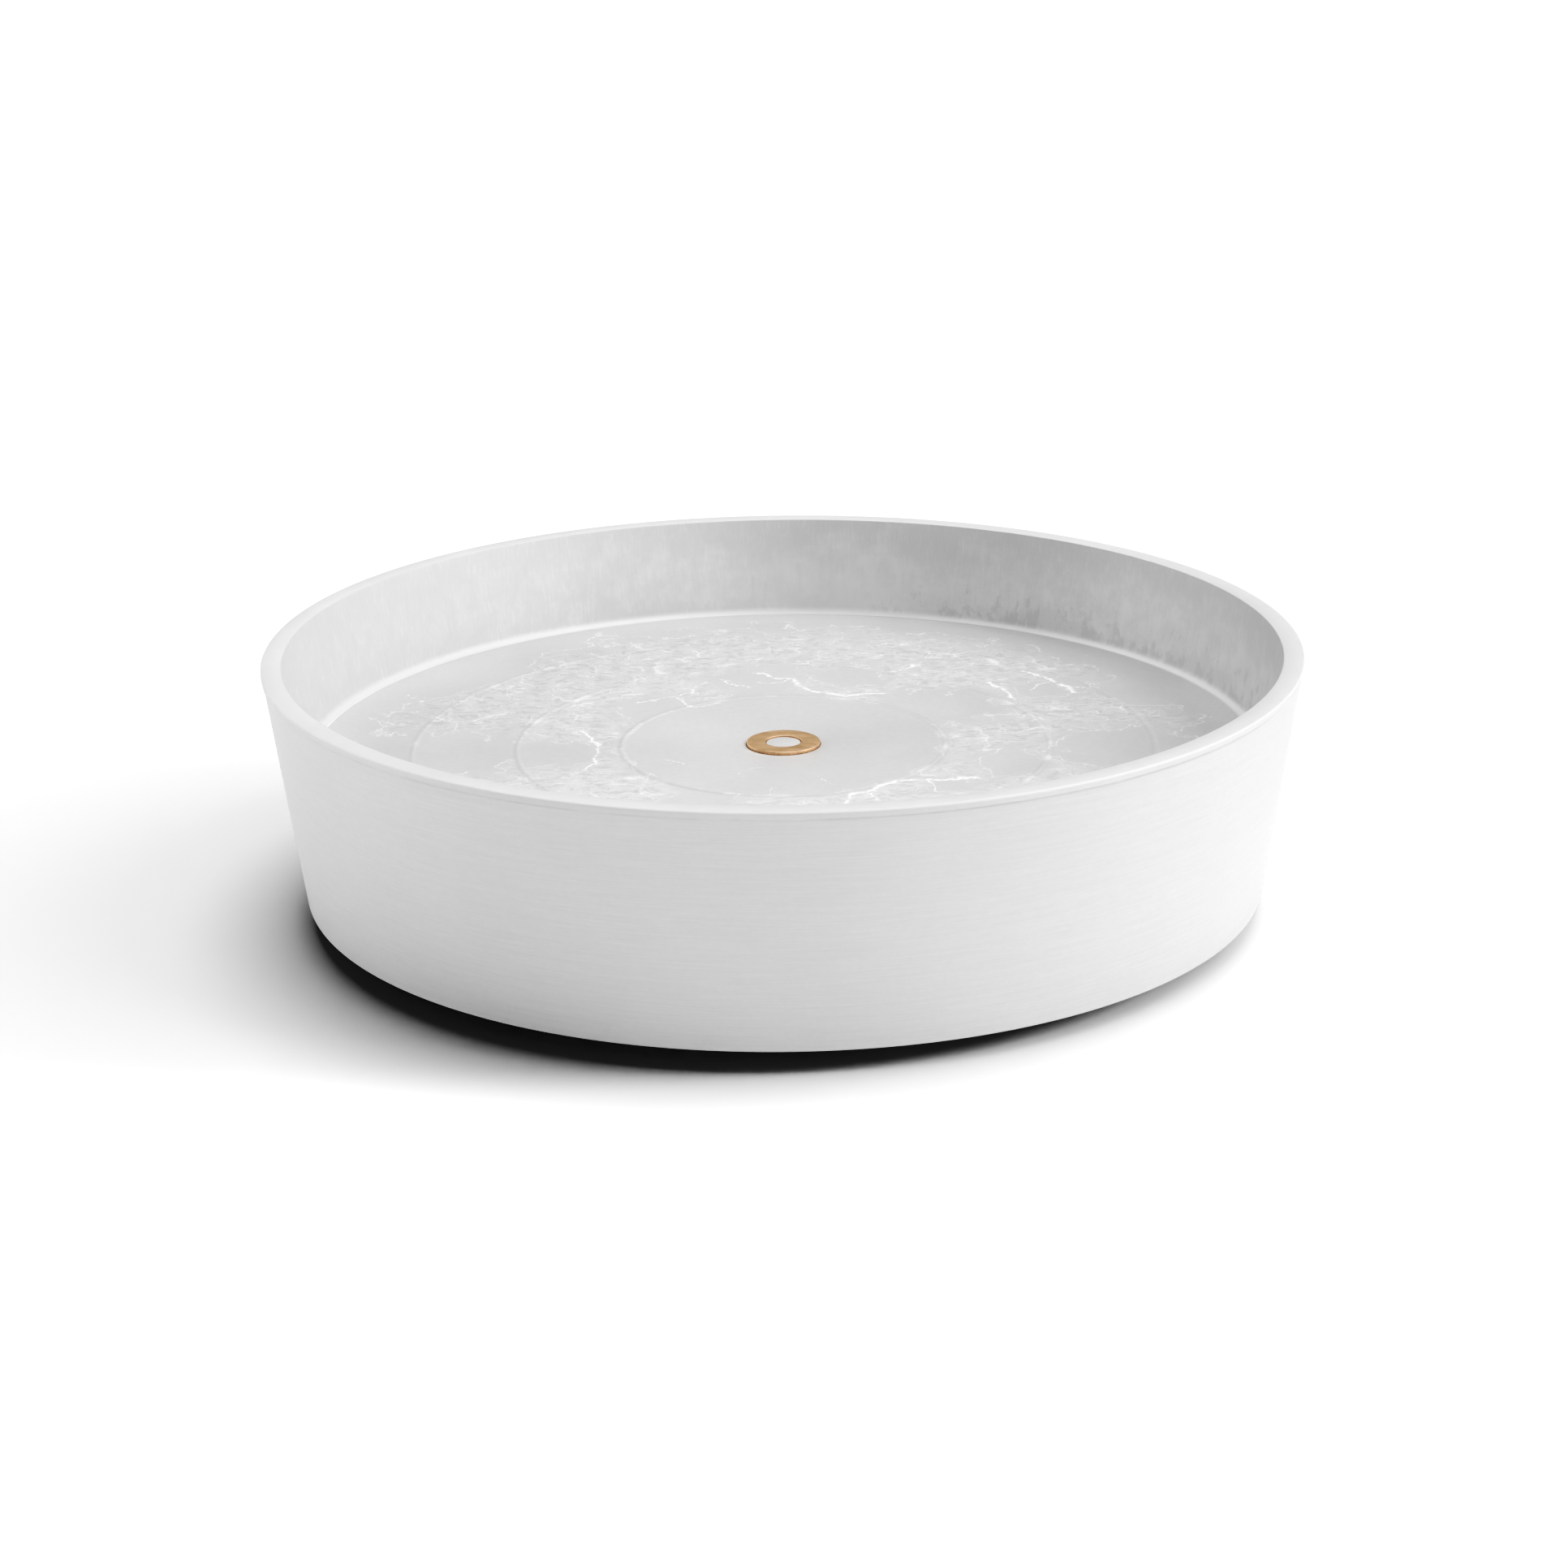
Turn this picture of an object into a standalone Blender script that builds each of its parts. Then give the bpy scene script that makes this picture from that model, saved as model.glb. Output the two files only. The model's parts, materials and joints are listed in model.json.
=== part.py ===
"""Round plant saucer that rolls on four swivel castors hidden inside its skirt.

Metres, +Z up. The origin is on the ground, under the middle of the saucer.
The front, with the front castors, is at -Y. All four castors trail towards +Y.
"""
from math import acos, atan2, cos, hypot, pi, radians, sin, tan

import bmesh
import bpy
from mathutils import Matrix, Vector

# Saucer body
TOP_DIAMETER = 0.350
SIDE_DRAFT = radians(8.27)
TRAY_DEPTH = 0.0355
FLOOR_THICKNESS = 0.0065
GROUND_GAP = 0.0080
RIM_WIDTH = 0.0072
RIM_OUTER_ROUND = 0.0016
RIM_INNER_ROUND = 0.0004
SKIRT_EDGE = 0.0062
SKIRT_EDGE_ROUND = 0.0008
CAVITY_DRAFT = radians(0.5)
CAVITY_ROUND = 0.0030
TRAY_ROUND = 0.0040

# Raised rings on the tray floor
RIDGE_COUNT = 3
RIDGE_INSET = 0.0366
RIDGE_PITCH = 0.0355
RIDGE_WIDTH = 0.0048
RIDGE_CREST = 0.0016
RIDGE_HEIGHT = 0.0007

# Brass ring in the middle of the tray floor
RING_OUTER_DIAMETER = 0.0250
RING_INNER_DIAMETER = 0.0123
RING_THICKNESS = 0.0015
RING_PROUD = 0.0010
RING_EDGE_ROUND = 0.0002
SPIGOT_DROP = 0.0004

# Castors
CASTOR_SIGNS = {
    "front_left": (-1, -1),
    "front_right": (1, -1),
    "rear_left": (-1, 1),
    "rear_right": (1, 1),
}
WHEEL_DIAMETER = 0.030
WHEEL_WIDTH = 0.0130
TRAIL = 0.0130
SWIVEL_CLEARANCE = 0.0100
TYRE_THICKNESS = 0.0035
TYRE_ROUND = 0.0018
CORE_RIM = 0.0020
CORE_WEB = 0.0040
CORE_HUB_WALL = 0.0022
AXLE_DIAMETER = 0.0050
AXLE_HEAD_DIAMETER = 0.0080
AXLE_HEAD_HEIGHT = 0.0012
FORK_SHEET = 0.0018
FORK_SIDE_PLAY = 0.0006
FORK_CROWN_DIAMETER = 0.0280
FORK_LEG_TOP = 0.0180
FORK_LEG_END = 0.0110
CROWN_OVER_WHEEL = 0.0038
BALL_DIAMETER = 0.0040
BALL_COUNT = 8
BALL_CIRCLE_DIAMETER = 0.0200
CAGE_WIDTH = 0.0052
CAGE_THICKNESS = 0.0010
KINGPIN_DIAMETER = 0.0060
KINGPIN_HEAD_DIAMETER = 0.0100
KINGPIN_HEAD_HEIGHT = 0.0014
PLATE_SIDE = 0.0380
PLATE_CORNER_ROUND = 0.0050
PLATE_THICKNESS = 0.0018
SCREW_INSET = 0.0050
SCREW_DIAMETER = 0.0040
SCREW_LENGTH = 0.0100
SCREW_TIP = 0.0020
SCREW_HEAD_DIAMETER = 0.0075
SCREW_HEAD_HEIGHT = 0.0024
SCREW_HEAD_ROUND = 0.0012
PAD_MARGIN = 0.0020
PAD_HEIGHT = 0.0040

# Gap between pieces that touch
CLEARANCE = 0.0003

# Facets round each turned shape, and the turn of one facet in a rounded corner
BODY_FACETS = 60
PAD_FACETS = 20
RING_FACETS = 32
WHEEL_FACETS = 20
CASTOR_FACETS = 16
SMALL_FACETS = 8
BALL_FACETS = 6
BALL_RINGS = 4
CORNER_STEP = radians(46)
SMOOTH_ANGLE = radians(35)
MERGE_DISTANCE = 1e-6
CUT_PAST = 0.0010

# Heights of the castor, from the ground up
wheel_radius = WHEEL_DIAMETER / 2
axle_height = wheel_radius * cos(pi / WHEEL_FACETS)
crown_bottom = axle_height + wheel_radius + CROWN_OVER_WHEEL
crown_top = crown_bottom + FORK_SHEET
ball_bottom = crown_top + CLEARANCE
ball_top = ball_bottom + BALL_DIAMETER
plate_bottom = ball_top + CLEARANCE
plate_top = plate_bottom + PLATE_THICKNESS

# Heights of the saucer, which stands on the castor plates
pad_bottom = plate_top + CLEARANCE
floor_bottom = pad_bottom + PAD_HEIGHT
floor_top = floor_bottom + FLOOR_THICKNESS
rim_top = floor_top + TRAY_DEPTH
skirt_bottom = GROUND_GAP
ring_bottom = floor_top + RING_PROUD - RING_THICKNESS
ring_top = floor_top + RING_PROUD

# Radii of the saucer, which narrows downwards
top_radius = TOP_DIAMETER / 2
bottom_radius = top_radius - (rim_top - skirt_bottom) * tan(SIDE_DRAFT)
tray_top_radius = top_radius - RIM_WIDTH
tray_floor_radius = tray_top_radius - TRAY_DEPTH * tan(SIDE_DRAFT)
cavity_bottom_radius = bottom_radius - SKIRT_EDGE
cavity_top_radius = cavity_bottom_radius - (floor_bottom - skirt_bottom) * tan(CAVITY_DRAFT)

# Places of the castors and of their screws
swivel_reach = hypot(TRAIL + wheel_radius, WHEEL_WIDTH / 2)
castor_circle = cavity_top_radius - swivel_reach - SWIVEL_CLEARANCE
castor_offset = castor_circle / 2 ** 0.5
castor_places = {
    name: Vector((x * castor_offset, y * castor_offset, 0))
    for name, (x, y) in CASTOR_SIGNS.items()
}
screw_offset = PLATE_SIDE / 2 - SCREW_INSET
screw_places = [
    Vector((x * screw_offset, y * screw_offset, 0))
    for x, y in CASTOR_SIGNS.values()
]

# Fits
fork_inside = WHEEL_WIDTH / 2 + FORK_SIDE_PLAY
fork_outside = fork_inside + FORK_SHEET
screw_hole_radius = SCREW_DIAMETER / 2 + CLEARANCE
screw_head_top = plate_bottom - CLEARANCE
screw_tip_top = screw_head_top + SCREW_LENGTH


def rounded(outline, closed):
    """Points of an outline of (x, z, corner radius), with an arc at each rounded corner."""
    points = []
    last = len(outline) - 1
    for index, (x, z, radius) in enumerate(outline):
        corner = Vector((x, z))
        is_end = not closed and index in (0, last)
        if radius == 0 or is_end:
            points.append(corner)
            continue
        before = (Vector(outline[index - 1][:2]) - corner).normalized()
        after = (Vector(outline[(index + 1) % len(outline)][:2]) - corner).normalized()
        half_angle = before.angle(after) / 2
        centre = corner + (before + after).normalized() * radius / sin(half_angle)
        start = corner + before * radius / tan(half_angle) - centre
        turn = pi - 2 * half_angle
        if before.x * after.y - before.y * after.x > 0:
            turn = -turn
        steps = max(1, round(abs(turn) / CORNER_STEP))
        start_angle = atan2(start.y, start.x)
        for step in range(steps + 1):
            angle = start_angle + turn * step / steps
            points.append(centre + radius * Vector((cos(angle), sin(angle))))
    return points


def finished(name, bm):
    """Mesh of a closed bmesh, facing out, with smooth rounds and crisp edges."""
    bmesh.ops.remove_doubles(bm, verts=bm.verts, dist=MERGE_DISTANCE)
    bmesh.ops.recalc_face_normals(bm, faces=bm.faces)
    mesh = bpy.data.meshes.new(name)
    bm.to_mesh(mesh)
    bm.free()
    return mesh


def turned(name, outline, facets, closed=False):
    """Mesh turned about Z from an outline of (radius, z, corner radius)."""
    bm = bmesh.new()
    verts = [bm.verts.new((point.x, 0, point.y)) for point in rounded(outline, closed)]
    for first, second in zip(verts, verts[1:]):
        bm.edges.new((first, second))
    if closed:
        bm.edges.new((verts[-1], verts[0]))
    bmesh.ops.spin(
        bm,
        geom=bm.verts[:] + bm.edges[:],
        axis=(0, 0, 1),
        angle=2 * pi,
        steps=facets,
        use_merge=True,
    )
    return finished(name, bm)


def slabs(name, outline, spans):
    """Mesh of one flat slab for each (bottom, top) span, cut to a closed outline in XY."""
    bm = bmesh.new()
    points = rounded(outline, closed=True)
    for bottom, top in spans:
        face = bm.faces.new([bm.verts.new((point.x, point.y, bottom)) for point in points])
        grown = bmesh.ops.extrude_face_region(bm, geom=[face], use_keep_orig=True)
        raised = [item for item in grown["geom"] if isinstance(item, bmesh.types.BMVert)]
        bmesh.ops.translate(bm, verts=raised, vec=(0, 0, top - bottom))
    return finished(name, bm)


def rods(places, radius, bottom, top, facets):
    """Mesh of one upright round rod at each place."""
    bm = bmesh.new()
    for place in places:
        bmesh.ops.create_cone(
            bm,
            cap_ends=True,
            segments=facets,
            radius1=radius,
            radius2=radius,
            depth=top - bottom,
            matrix=Matrix.Translation((place.x, place.y, (top + bottom) / 2)),
        )
    return finished("rods", bm)


def boolean(mesh, tool, operation):
    """The mesh after one exact Boolean with a tool mesh, which is used up."""
    target = bpy.data.objects.new(mesh.name, mesh)
    cutter = bpy.data.objects.new("cutter", tool)
    for piece in (target, cutter):
        bpy.context.collection.objects.link(piece)
    modifier = target.modifiers.new("cut", "BOOLEAN")
    modifier.operation = operation
    modifier.solver = "EXACT"
    modifier.object = cutter
    depsgraph = bpy.context.evaluated_depsgraph_get()
    result = bpy.data.meshes.new_from_object(target.evaluated_get(depsgraph))
    bpy.data.objects.remove(target)
    bpy.data.objects.remove(cutter)
    return result


def laid_along_x(mesh, turn=0.0):
    """The mesh with its Z axis laid along X, its X along Y and its Y along Z, after a turn about Z."""
    cycled_axes = Matrix(((0, 0, 1, 0), (1, 0, 0, 0), (0, 1, 0, 0), (0, 0, 0, 1)))
    mesh.transform(cycled_axes @ Matrix.Rotation(turn, 4, "Z"))
    return mesh


def material(name, colour, roughness, metallic):
    """Plain surface finish."""
    finish = bpy.data.materials.new(name)
    finish.use_nodes = True
    shader = finish.node_tree.nodes["Principled BSDF"]
    shader.inputs["Base Color"].default_value = (*colour, 1.0)
    shader.inputs["Roughness"].default_value = roughness
    shader.inputs["Metallic"].default_value = metallic
    return finish


def place(name, mesh, finish, parent=None):
    """One piece of the assembly, set at its parent's origin."""
    mesh.shade_smooth()
    mesh.set_sharp_from_angle(angle=SMOOTH_ANGLE)
    mesh.materials.clear()
    mesh.materials.append(finish)
    piece = bpy.data.objects.new(name, mesh)
    bpy.context.collection.objects.link(piece)
    piece.parent = parent
    return piece


def axis_empty(name, location, parent=None):
    """Empty on a joint's axis, which carries the pieces that turn about it."""
    empty = bpy.data.objects.new(name, None)
    bpy.context.collection.objects.link(empty)
    empty.location = location
    empty.parent = parent
    return empty


def ridge_outline(radius):
    """Cross-section of one raised ring on the tray floor, from its inner to its outer foot."""
    half = RIDGE_WIDTH / 2
    crest = RIDGE_CREST / 2
    return [
        (radius - half, floor_top, 0),
        (radius - crest, floor_top + RIDGE_HEIGHT, 0),
        (radius + crest, floor_top + RIDGE_HEIGHT, 0),
        (radius + half, floor_top, 0),
    ]


def saucer_body_mesh():
    """Shell with the tray above, the skirt round it and the castor pads below."""
    spigot_radius = RING_INNER_DIAMETER / 2 - CLEARANCE
    seat_radius = RING_OUTER_DIAMETER / 2 + CLEARANCE
    seat_height = ring_bottom - CLEARANCE
    spigot_top = ring_top - SPIGOT_DROP
    outline = [
        (0, spigot_top, 0),
        (spigot_radius, spigot_top, 0),
        (spigot_radius, seat_height, 0),
        (seat_radius, seat_height, 0),
        (seat_radius, floor_top, 0),
    ]
    for index in reversed(range(RIDGE_COUNT)):
        outline += ridge_outline(tray_floor_radius - RIDGE_INSET - index * RIDGE_PITCH)
    outline += [
        (tray_floor_radius, floor_top, TRAY_ROUND),
        (tray_top_radius, rim_top, RIM_INNER_ROUND),
        (top_radius, rim_top, RIM_OUTER_ROUND),
        (bottom_radius, skirt_bottom, SKIRT_EDGE_ROUND),
        (cavity_bottom_radius, skirt_bottom, SKIRT_EDGE_ROUND),
        (cavity_top_radius, floor_bottom, CAVITY_ROUND),
        (0, floor_bottom, 0),
    ]
    shell = turned("saucer_body", outline, BODY_FACETS)

    centres = list(castor_places.values())
    plate_corner = (PLATE_SIDE / 2 - PLATE_CORNER_ROUND) * 2 ** 0.5 + PLATE_CORNER_ROUND
    pad_top = floor_bottom + FLOOR_THICKNESS / 2
    pads = rods(centres, plate_corner + PAD_MARGIN, pad_bottom, pad_top, PAD_FACETS)
    shell = boolean(shell, pads, "UNION")

    screws = [centre + offset for centre in centres for offset in screw_places]
    hole_bottom = pad_bottom - CUT_PAST
    holes = rods(screws, screw_hole_radius, hole_bottom, screw_tip_top + CLEARANCE, SMALL_FACETS)
    shell = boolean(shell, holes, "DIFFERENCE")

    head_radius = KINGPIN_HEAD_DIAMETER / 2 + CLEARANCE
    head_top = plate_top + KINGPIN_HEAD_HEIGHT + 2 * CLEARANCE
    recesses = rods(centres, head_radius, hole_bottom, head_top, CASTOR_FACETS)
    return boolean(shell, recesses, "DIFFERENCE")


def brass_ring_mesh():
    """Flat ring with its edges just broken."""
    inner = RING_INNER_DIAMETER / 2
    outer = RING_OUTER_DIAMETER / 2
    outline = [
        (inner, ring_bottom, 0),
        (inner, ring_top, RING_EDGE_ROUND),
        (outer, ring_top, RING_EDGE_ROUND),
        (outer, ring_bottom, 0),
    ]
    return turned("brass_ring", outline, RING_FACETS, closed=True)


def plate_mesh():
    """Square castor plate with round corners, four screw holes and the kingpin hole."""
    half = PLATE_SIDE / 2
    outline = [
        (-half, -half, PLATE_CORNER_ROUND),
        (half, -half, PLATE_CORNER_ROUND),
        (half, half, PLATE_CORNER_ROUND),
        (-half, half, PLATE_CORNER_ROUND),
    ]
    plate = slabs("castor_plate", outline, [(plate_bottom, plate_top)])
    cut_bottom = plate_bottom - CUT_PAST
    cut_top = plate_top + CUT_PAST
    holes = rods(screw_places, screw_hole_radius, cut_bottom, cut_top, SMALL_FACETS)
    plate = boolean(plate, holes, "DIFFERENCE")
    pin_radius = KINGPIN_DIAMETER / 2 + CLEARANCE
    pin_hole = rods([Vector()], pin_radius, cut_bottom, cut_top, CASTOR_FACETS)
    return boolean(plate, pin_hole, "DIFFERENCE")


def ball_ring_mesh():
    """Ring of balls held by a thin cage."""
    circle = BALL_CIRCLE_DIAMETER / 2
    middle = (ball_bottom + ball_top) / 2
    inner = circle - CAGE_WIDTH / 2
    outer = circle + CAGE_WIDTH / 2
    cage_bottom = middle - CAGE_THICKNESS / 2
    cage_top = middle + CAGE_THICKNESS / 2
    outline = [
        (inner, cage_bottom, 0),
        (inner, cage_top, 0),
        (outer, cage_top, 0),
        (outer, cage_bottom, 0),
    ]
    cage = turned("castor_ball_ring", outline, CASTOR_FACETS, closed=True)
    bm = bmesh.new()
    for index in range(BALL_COUNT):
        angle = 2 * pi * (index + 0.5) / BALL_COUNT
        bmesh.ops.create_uvsphere(
            bm,
            u_segments=BALL_FACETS,
            v_segments=BALL_RINGS,
            radius=BALL_DIAMETER / 2,
            matrix=Matrix.Translation((circle * cos(angle), circle * sin(angle), middle)),
        )
    return boolean(cage, finished("balls", bm), "UNION")


def kingpin_mesh():
    """Rivet with a head above the plate and a head below the fork's crown."""
    shank = KINGPIN_DIAMETER / 2
    head = KINGPIN_HEAD_DIAMETER / 2
    upper = plate_top + CLEARANCE
    lower = crown_bottom - CLEARANCE
    outline = [
        (0, upper + KINGPIN_HEAD_HEIGHT, 0),
        (head, upper + KINGPIN_HEAD_HEIGHT, 0),
        (head, upper, 0),
        (shank, upper, 0),
        (shank, lower, 0),
        (head, lower, 0),
        (head, lower - KINGPIN_HEAD_HEIGHT, 0),
        (0, lower - KINGPIN_HEAD_HEIGHT, 0),
    ]
    return turned("castor_kingpin", outline, CASTOR_FACETS)


def leg_outline():
    """Fork leg in (back, height): a top edge in the crown and a round end about the axle."""
    axle = Vector((TRAIL, axle_height))
    end_radius = FORK_LEG_END / 2
    leg_top = (crown_top + crown_bottom) / 2
    front = Vector((-FORK_LEG_TOP / 2, leg_top))
    back = Vector((FORK_LEG_TOP / 2, leg_top))
    tangent_angles = []
    for corner, side in ((front, 1), (back, -1)):
        reach = corner - axle
        tangent_angles.append(atan2(reach.y, reach.x) + side * acos(end_radius / reach.length))
    first, last = tangent_angles[0], tangent_angles[1] + 2 * pi
    steps = round((last - first) / CORNER_STEP)
    end_arc = [first + (last - first) * step / steps for step in range(steps + 1)]
    points = [axle + end_radius * Vector((cos(angle), sin(angle))) for angle in end_arc]
    return [(point.x, point.y, 0) for point in [front, *points, back]]


def fork_mesh():
    """Round crown with two legs that sweep back to the axle."""
    crown_outline = [
        (KINGPIN_DIAMETER / 2 + CLEARANCE, crown_bottom, 0),
        (KINGPIN_DIAMETER / 2 + CLEARANCE, crown_top, 0),
        (FORK_CROWN_DIAMETER / 2, crown_top, 0),
        (FORK_CROWN_DIAMETER / 2, crown_bottom, 0),
    ]
    crown = turned("castor_fork", crown_outline, CASTOR_FACETS, closed=True)

    legs = slabs("legs", leg_outline(), [(-fork_outside, -fork_inside), (fork_inside, fork_outside)])
    fork = boolean(crown, laid_along_x(legs), "UNION")

    hole = AXLE_DIAMETER / 2 + CLEARANCE
    reach = fork_outside + CUT_PAST
    bore = laid_along_x(rods([Vector()], hole, -reach, reach, SMALL_FACETS))
    bore.transform(Matrix.Translation((0, TRAIL, axle_height)))
    return boolean(fork, bore, "DIFFERENCE")


def axle_mesh():
    """Rivet across the fork, with a head outside each leg."""
    shank = AXLE_DIAMETER / 2
    head = AXLE_HEAD_DIAMETER / 2
    inner = fork_outside + CLEARANCE
    outer = inner + AXLE_HEAD_HEIGHT
    outline = [
        (0, outer, 0),
        (head, outer, 0),
        (head, inner, 0),
        (shank, inner, 0),
        (shank, -inner, 0),
        (head, -inner, 0),
        (head, -outer, 0),
        (0, -outer, 0),
    ]
    return laid_along_x(turned("castor_axle", outline, SMALL_FACETS))


def wheel_core_mesh():
    """Wheel centre with a hub on the axle, a thin web and a rim for the tyre."""
    bore = AXLE_DIAMETER / 2 + CLEARANCE
    hub = bore + CORE_HUB_WALL
    outer = wheel_radius - TYRE_THICKNESS - CLEARANCE
    rim = outer - CORE_RIM
    hub_half = fork_inside - CLEARANCE
    rim_half = WHEEL_WIDTH / 2
    web_half = CORE_WEB / 2
    one_side = [
        (bore, hub_half, 0),
        (hub, hub_half, 0),
        (hub, web_half, 0),
        (rim, web_half, 0),
        (rim, rim_half, 0),
        (outer, rim_half, 0),
    ]
    other_side = [(radius, -along, 0) for radius, along, _ in reversed(one_side)]
    core = turned("castor_wheel_core", one_side + other_side, WHEEL_FACETS, closed=True)
    return laid_along_x(core, pi / WHEEL_FACETS)


def tyre_mesh():
    """Soft tread with rounded shoulders, one facet flat on the ground."""
    inner = wheel_radius - TYRE_THICKNESS
    half = WHEEL_WIDTH / 2
    outline = [
        (inner, half, 0),
        (wheel_radius, half, TYRE_ROUND),
        (wheel_radius, -half, TYRE_ROUND),
        (inner, -half, 0),
    ]
    tyre = turned("castor_tyre", outline, WHEEL_FACETS, closed=True)
    return laid_along_x(tyre, pi / WHEEL_FACETS)


def screw_mesh():
    """Pan head screw, driven upwards through the plate into a pad."""
    shank = SCREW_DIAMETER / 2
    head = SCREW_HEAD_DIAMETER / 2
    outline = [
        (0, screw_tip_top, 0),
        (shank / 2, screw_tip_top, 0),
        (shank, screw_tip_top - SCREW_TIP, 0),
        (shank, screw_head_top, 0),
        (head, screw_head_top, 0),
        (head, screw_head_top - SCREW_HEAD_HEIGHT, SCREW_HEAD_ROUND),
        (0, screw_head_top - SCREW_HEAD_HEIGHT, 0),
    ]
    return turned("castor_screw", outline, SMALL_FACETS)


for leftover in list(bpy.data.objects):
    bpy.data.objects.remove(leftover)

off_white_plastic = material("off_white_plastic", (0.83, 0.83, 0.83), 0.55, 0.0)
brass = material("brass", (0.62, 0.36, 0.13), 0.35, 1.0)
zinc_plated_steel = material("zinc_plated_steel", (0.58, 0.59, 0.60), 0.38, 1.0)
polished_steel = material("polished_steel", (0.66, 0.66, 0.67), 0.20, 1.0)
black_nylon = material("black_nylon", (0.03, 0.03, 0.03), 0.50, 0.0)
grey_rubber = material("grey_rubber", (0.11, 0.11, 0.11), 0.75, 0.0)

place("saucer_body", saucer_body_mesh(), off_white_plastic)
place("brass_ring", brass_ring_mesh(), brass)

fixed_meshes = [
    ("plate", plate_mesh(), zinc_plated_steel),
    ("kingpin", kingpin_mesh(), zinc_plated_steel),
]
swivel_meshes = [
    ("ball_ring", ball_ring_mesh(), polished_steel),
    ("fork", fork_mesh(), zinc_plated_steel),
]
wheel_meshes = [
    ("axle", axle_mesh(), polished_steel),
    ("wheel_core", wheel_core_mesh(), black_nylon),
    ("tyre", tyre_mesh(), grey_rubber),
]
shared_screw = screw_mesh()

for name, location in castor_places.items():
    castor = f"castor_{name}"
    swivel_axis = axis_empty(f"{castor}_swivel_axis", location)
    wheel_axis = axis_empty(f"{castor}_wheel_axis", (0, TRAIL, axle_height), swivel_axis)
    for part, mesh, finish in fixed_meshes + swivel_meshes:
        place(f"{castor}_{part}", mesh, finish, swivel_axis)
    for part, mesh, finish in wheel_meshes:
        place(f"{castor}_{part}", mesh, finish, wheel_axis)
    for number, offset in enumerate(screw_places, start=1):
        screw = place(f"{castor}_screw_{number}", shared_screw, zinc_plated_steel, swivel_axis)
        screw.location = offset
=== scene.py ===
import json
from math import acos, atan2, cos, pi, radians, sin, tan

import bmesh
import bpy
from mathutils import Matrix, Vector


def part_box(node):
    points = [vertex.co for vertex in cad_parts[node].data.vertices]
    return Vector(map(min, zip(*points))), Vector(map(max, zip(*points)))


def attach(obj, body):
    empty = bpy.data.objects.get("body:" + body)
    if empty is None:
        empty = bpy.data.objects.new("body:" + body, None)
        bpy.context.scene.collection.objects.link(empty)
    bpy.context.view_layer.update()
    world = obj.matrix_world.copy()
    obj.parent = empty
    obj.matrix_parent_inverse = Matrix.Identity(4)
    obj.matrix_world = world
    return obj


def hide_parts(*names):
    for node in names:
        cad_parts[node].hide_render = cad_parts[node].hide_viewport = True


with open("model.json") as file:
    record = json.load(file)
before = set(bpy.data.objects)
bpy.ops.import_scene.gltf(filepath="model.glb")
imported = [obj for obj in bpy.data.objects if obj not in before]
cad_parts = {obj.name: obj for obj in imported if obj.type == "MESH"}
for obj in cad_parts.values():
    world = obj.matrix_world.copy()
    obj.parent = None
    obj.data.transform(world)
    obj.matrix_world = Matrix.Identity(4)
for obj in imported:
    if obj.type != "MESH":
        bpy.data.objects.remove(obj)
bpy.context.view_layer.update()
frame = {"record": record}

# Saucer body. One thick moulding of off-white recycled plastic: a shallow tray above, a tapered skirt round
# it, and round pads under the tray floor for the castors. The outside is turned and brushed after moulding;
# the inside keeps its moulded skin, with flow streaks on the wall and a crazed, veined floor.
SIDE_DRAFT = radians(8.27)
CAVITY_DRAFT = radians(0.5)
TOP_DIAMETER = 0.350
RIM_WIDTH = 0.0072
RIM_EDGE = 0.0008
RIM_INSIDE_EDGE = 0.0003
LIP_HEIGHT = 0.0024
LIP_STEP = 0.0004
SKIRT_EDGE = 0.0062
SKIRT_EDGE_ROUND = 0.0004
SKIRT_DROP = 0.0005
FLOOR_THICKNESS = 0.0065
TRAY_ROUND = 0.0026
FLAT_STRIP = 0.0004
CAVITY_ROUND = 0.0028
RIDGE_COUNT = 3
RIDGE_INSET = 0.0366
RIDGE_PITCH = 0.0355
RIDGE_WIDTH = 0.0028
RIDGE_HEIGHT = 0.00024
RIDGE_STEPS = 8
SEAT_GAP = 0.0003
RING_HOLE_RADIUS = 0.00615
SPIGOT_DROP = 0.0004
SPIGOT_EDGE = 0.0002
PAD_RADIUS = 0.0268
PAD_EDGE = 0.0006
SCREW_HOLE_RADIUS = 0.0023
SHELL_STEPS = 256
PAD_STEPS = 64
SMALL_STEPS = 24
CORNER_STEPS = 4
TRAY_CORNER_STEPS = 6
PAD_EDGE_STEPS = 3
FINE_EDGE_STEPS = 2
SHARP_ANGLE = radians(40)
SMOOTH_ANGLE = radians(32)
MERGE_DISTANCE = 1e-6
RING_TOLERANCE = 1e-5
CASTORS = ("front_left", "front_right", "rear_left", "rear_right")
SCREW_NUMBERS = (1, 2, 3, 4)

body_low, body_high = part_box("saucer_body")
ring_low, ring_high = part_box("brass_ring")
floor_top = frame["record"]["mounts"][0]["pos_m"][2]
floor_bottom = floor_top - FLOOR_THICKNESS
rim_top = body_high.z
lip_bottom = rim_top - LIP_HEIGHT
skirt_bottom = body_low.z - SKIRT_DROP
pad_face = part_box("castor_front_left_plate")[1].z + SEAT_GAP
top_radius = TOP_DIAMETER / 2
lip_radius = top_radius - LIP_HEIGHT * tan(SIDE_DRAFT)
bottom_radius = top_radius - (rim_top - skirt_bottom) * tan(SIDE_DRAFT)
tray_top_radius = top_radius - RIM_WIDTH
tray_floor_radius = tray_top_radius - (rim_top - floor_top) * tan(SIDE_DRAFT)
outer_ridge = tray_floor_radius - RIDGE_INSET
inner_ridge = outer_ridge - (RIDGE_COUNT - 1) * RIDGE_PITCH
cavity_bottom_radius = bottom_radius - SKIRT_EDGE
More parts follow.
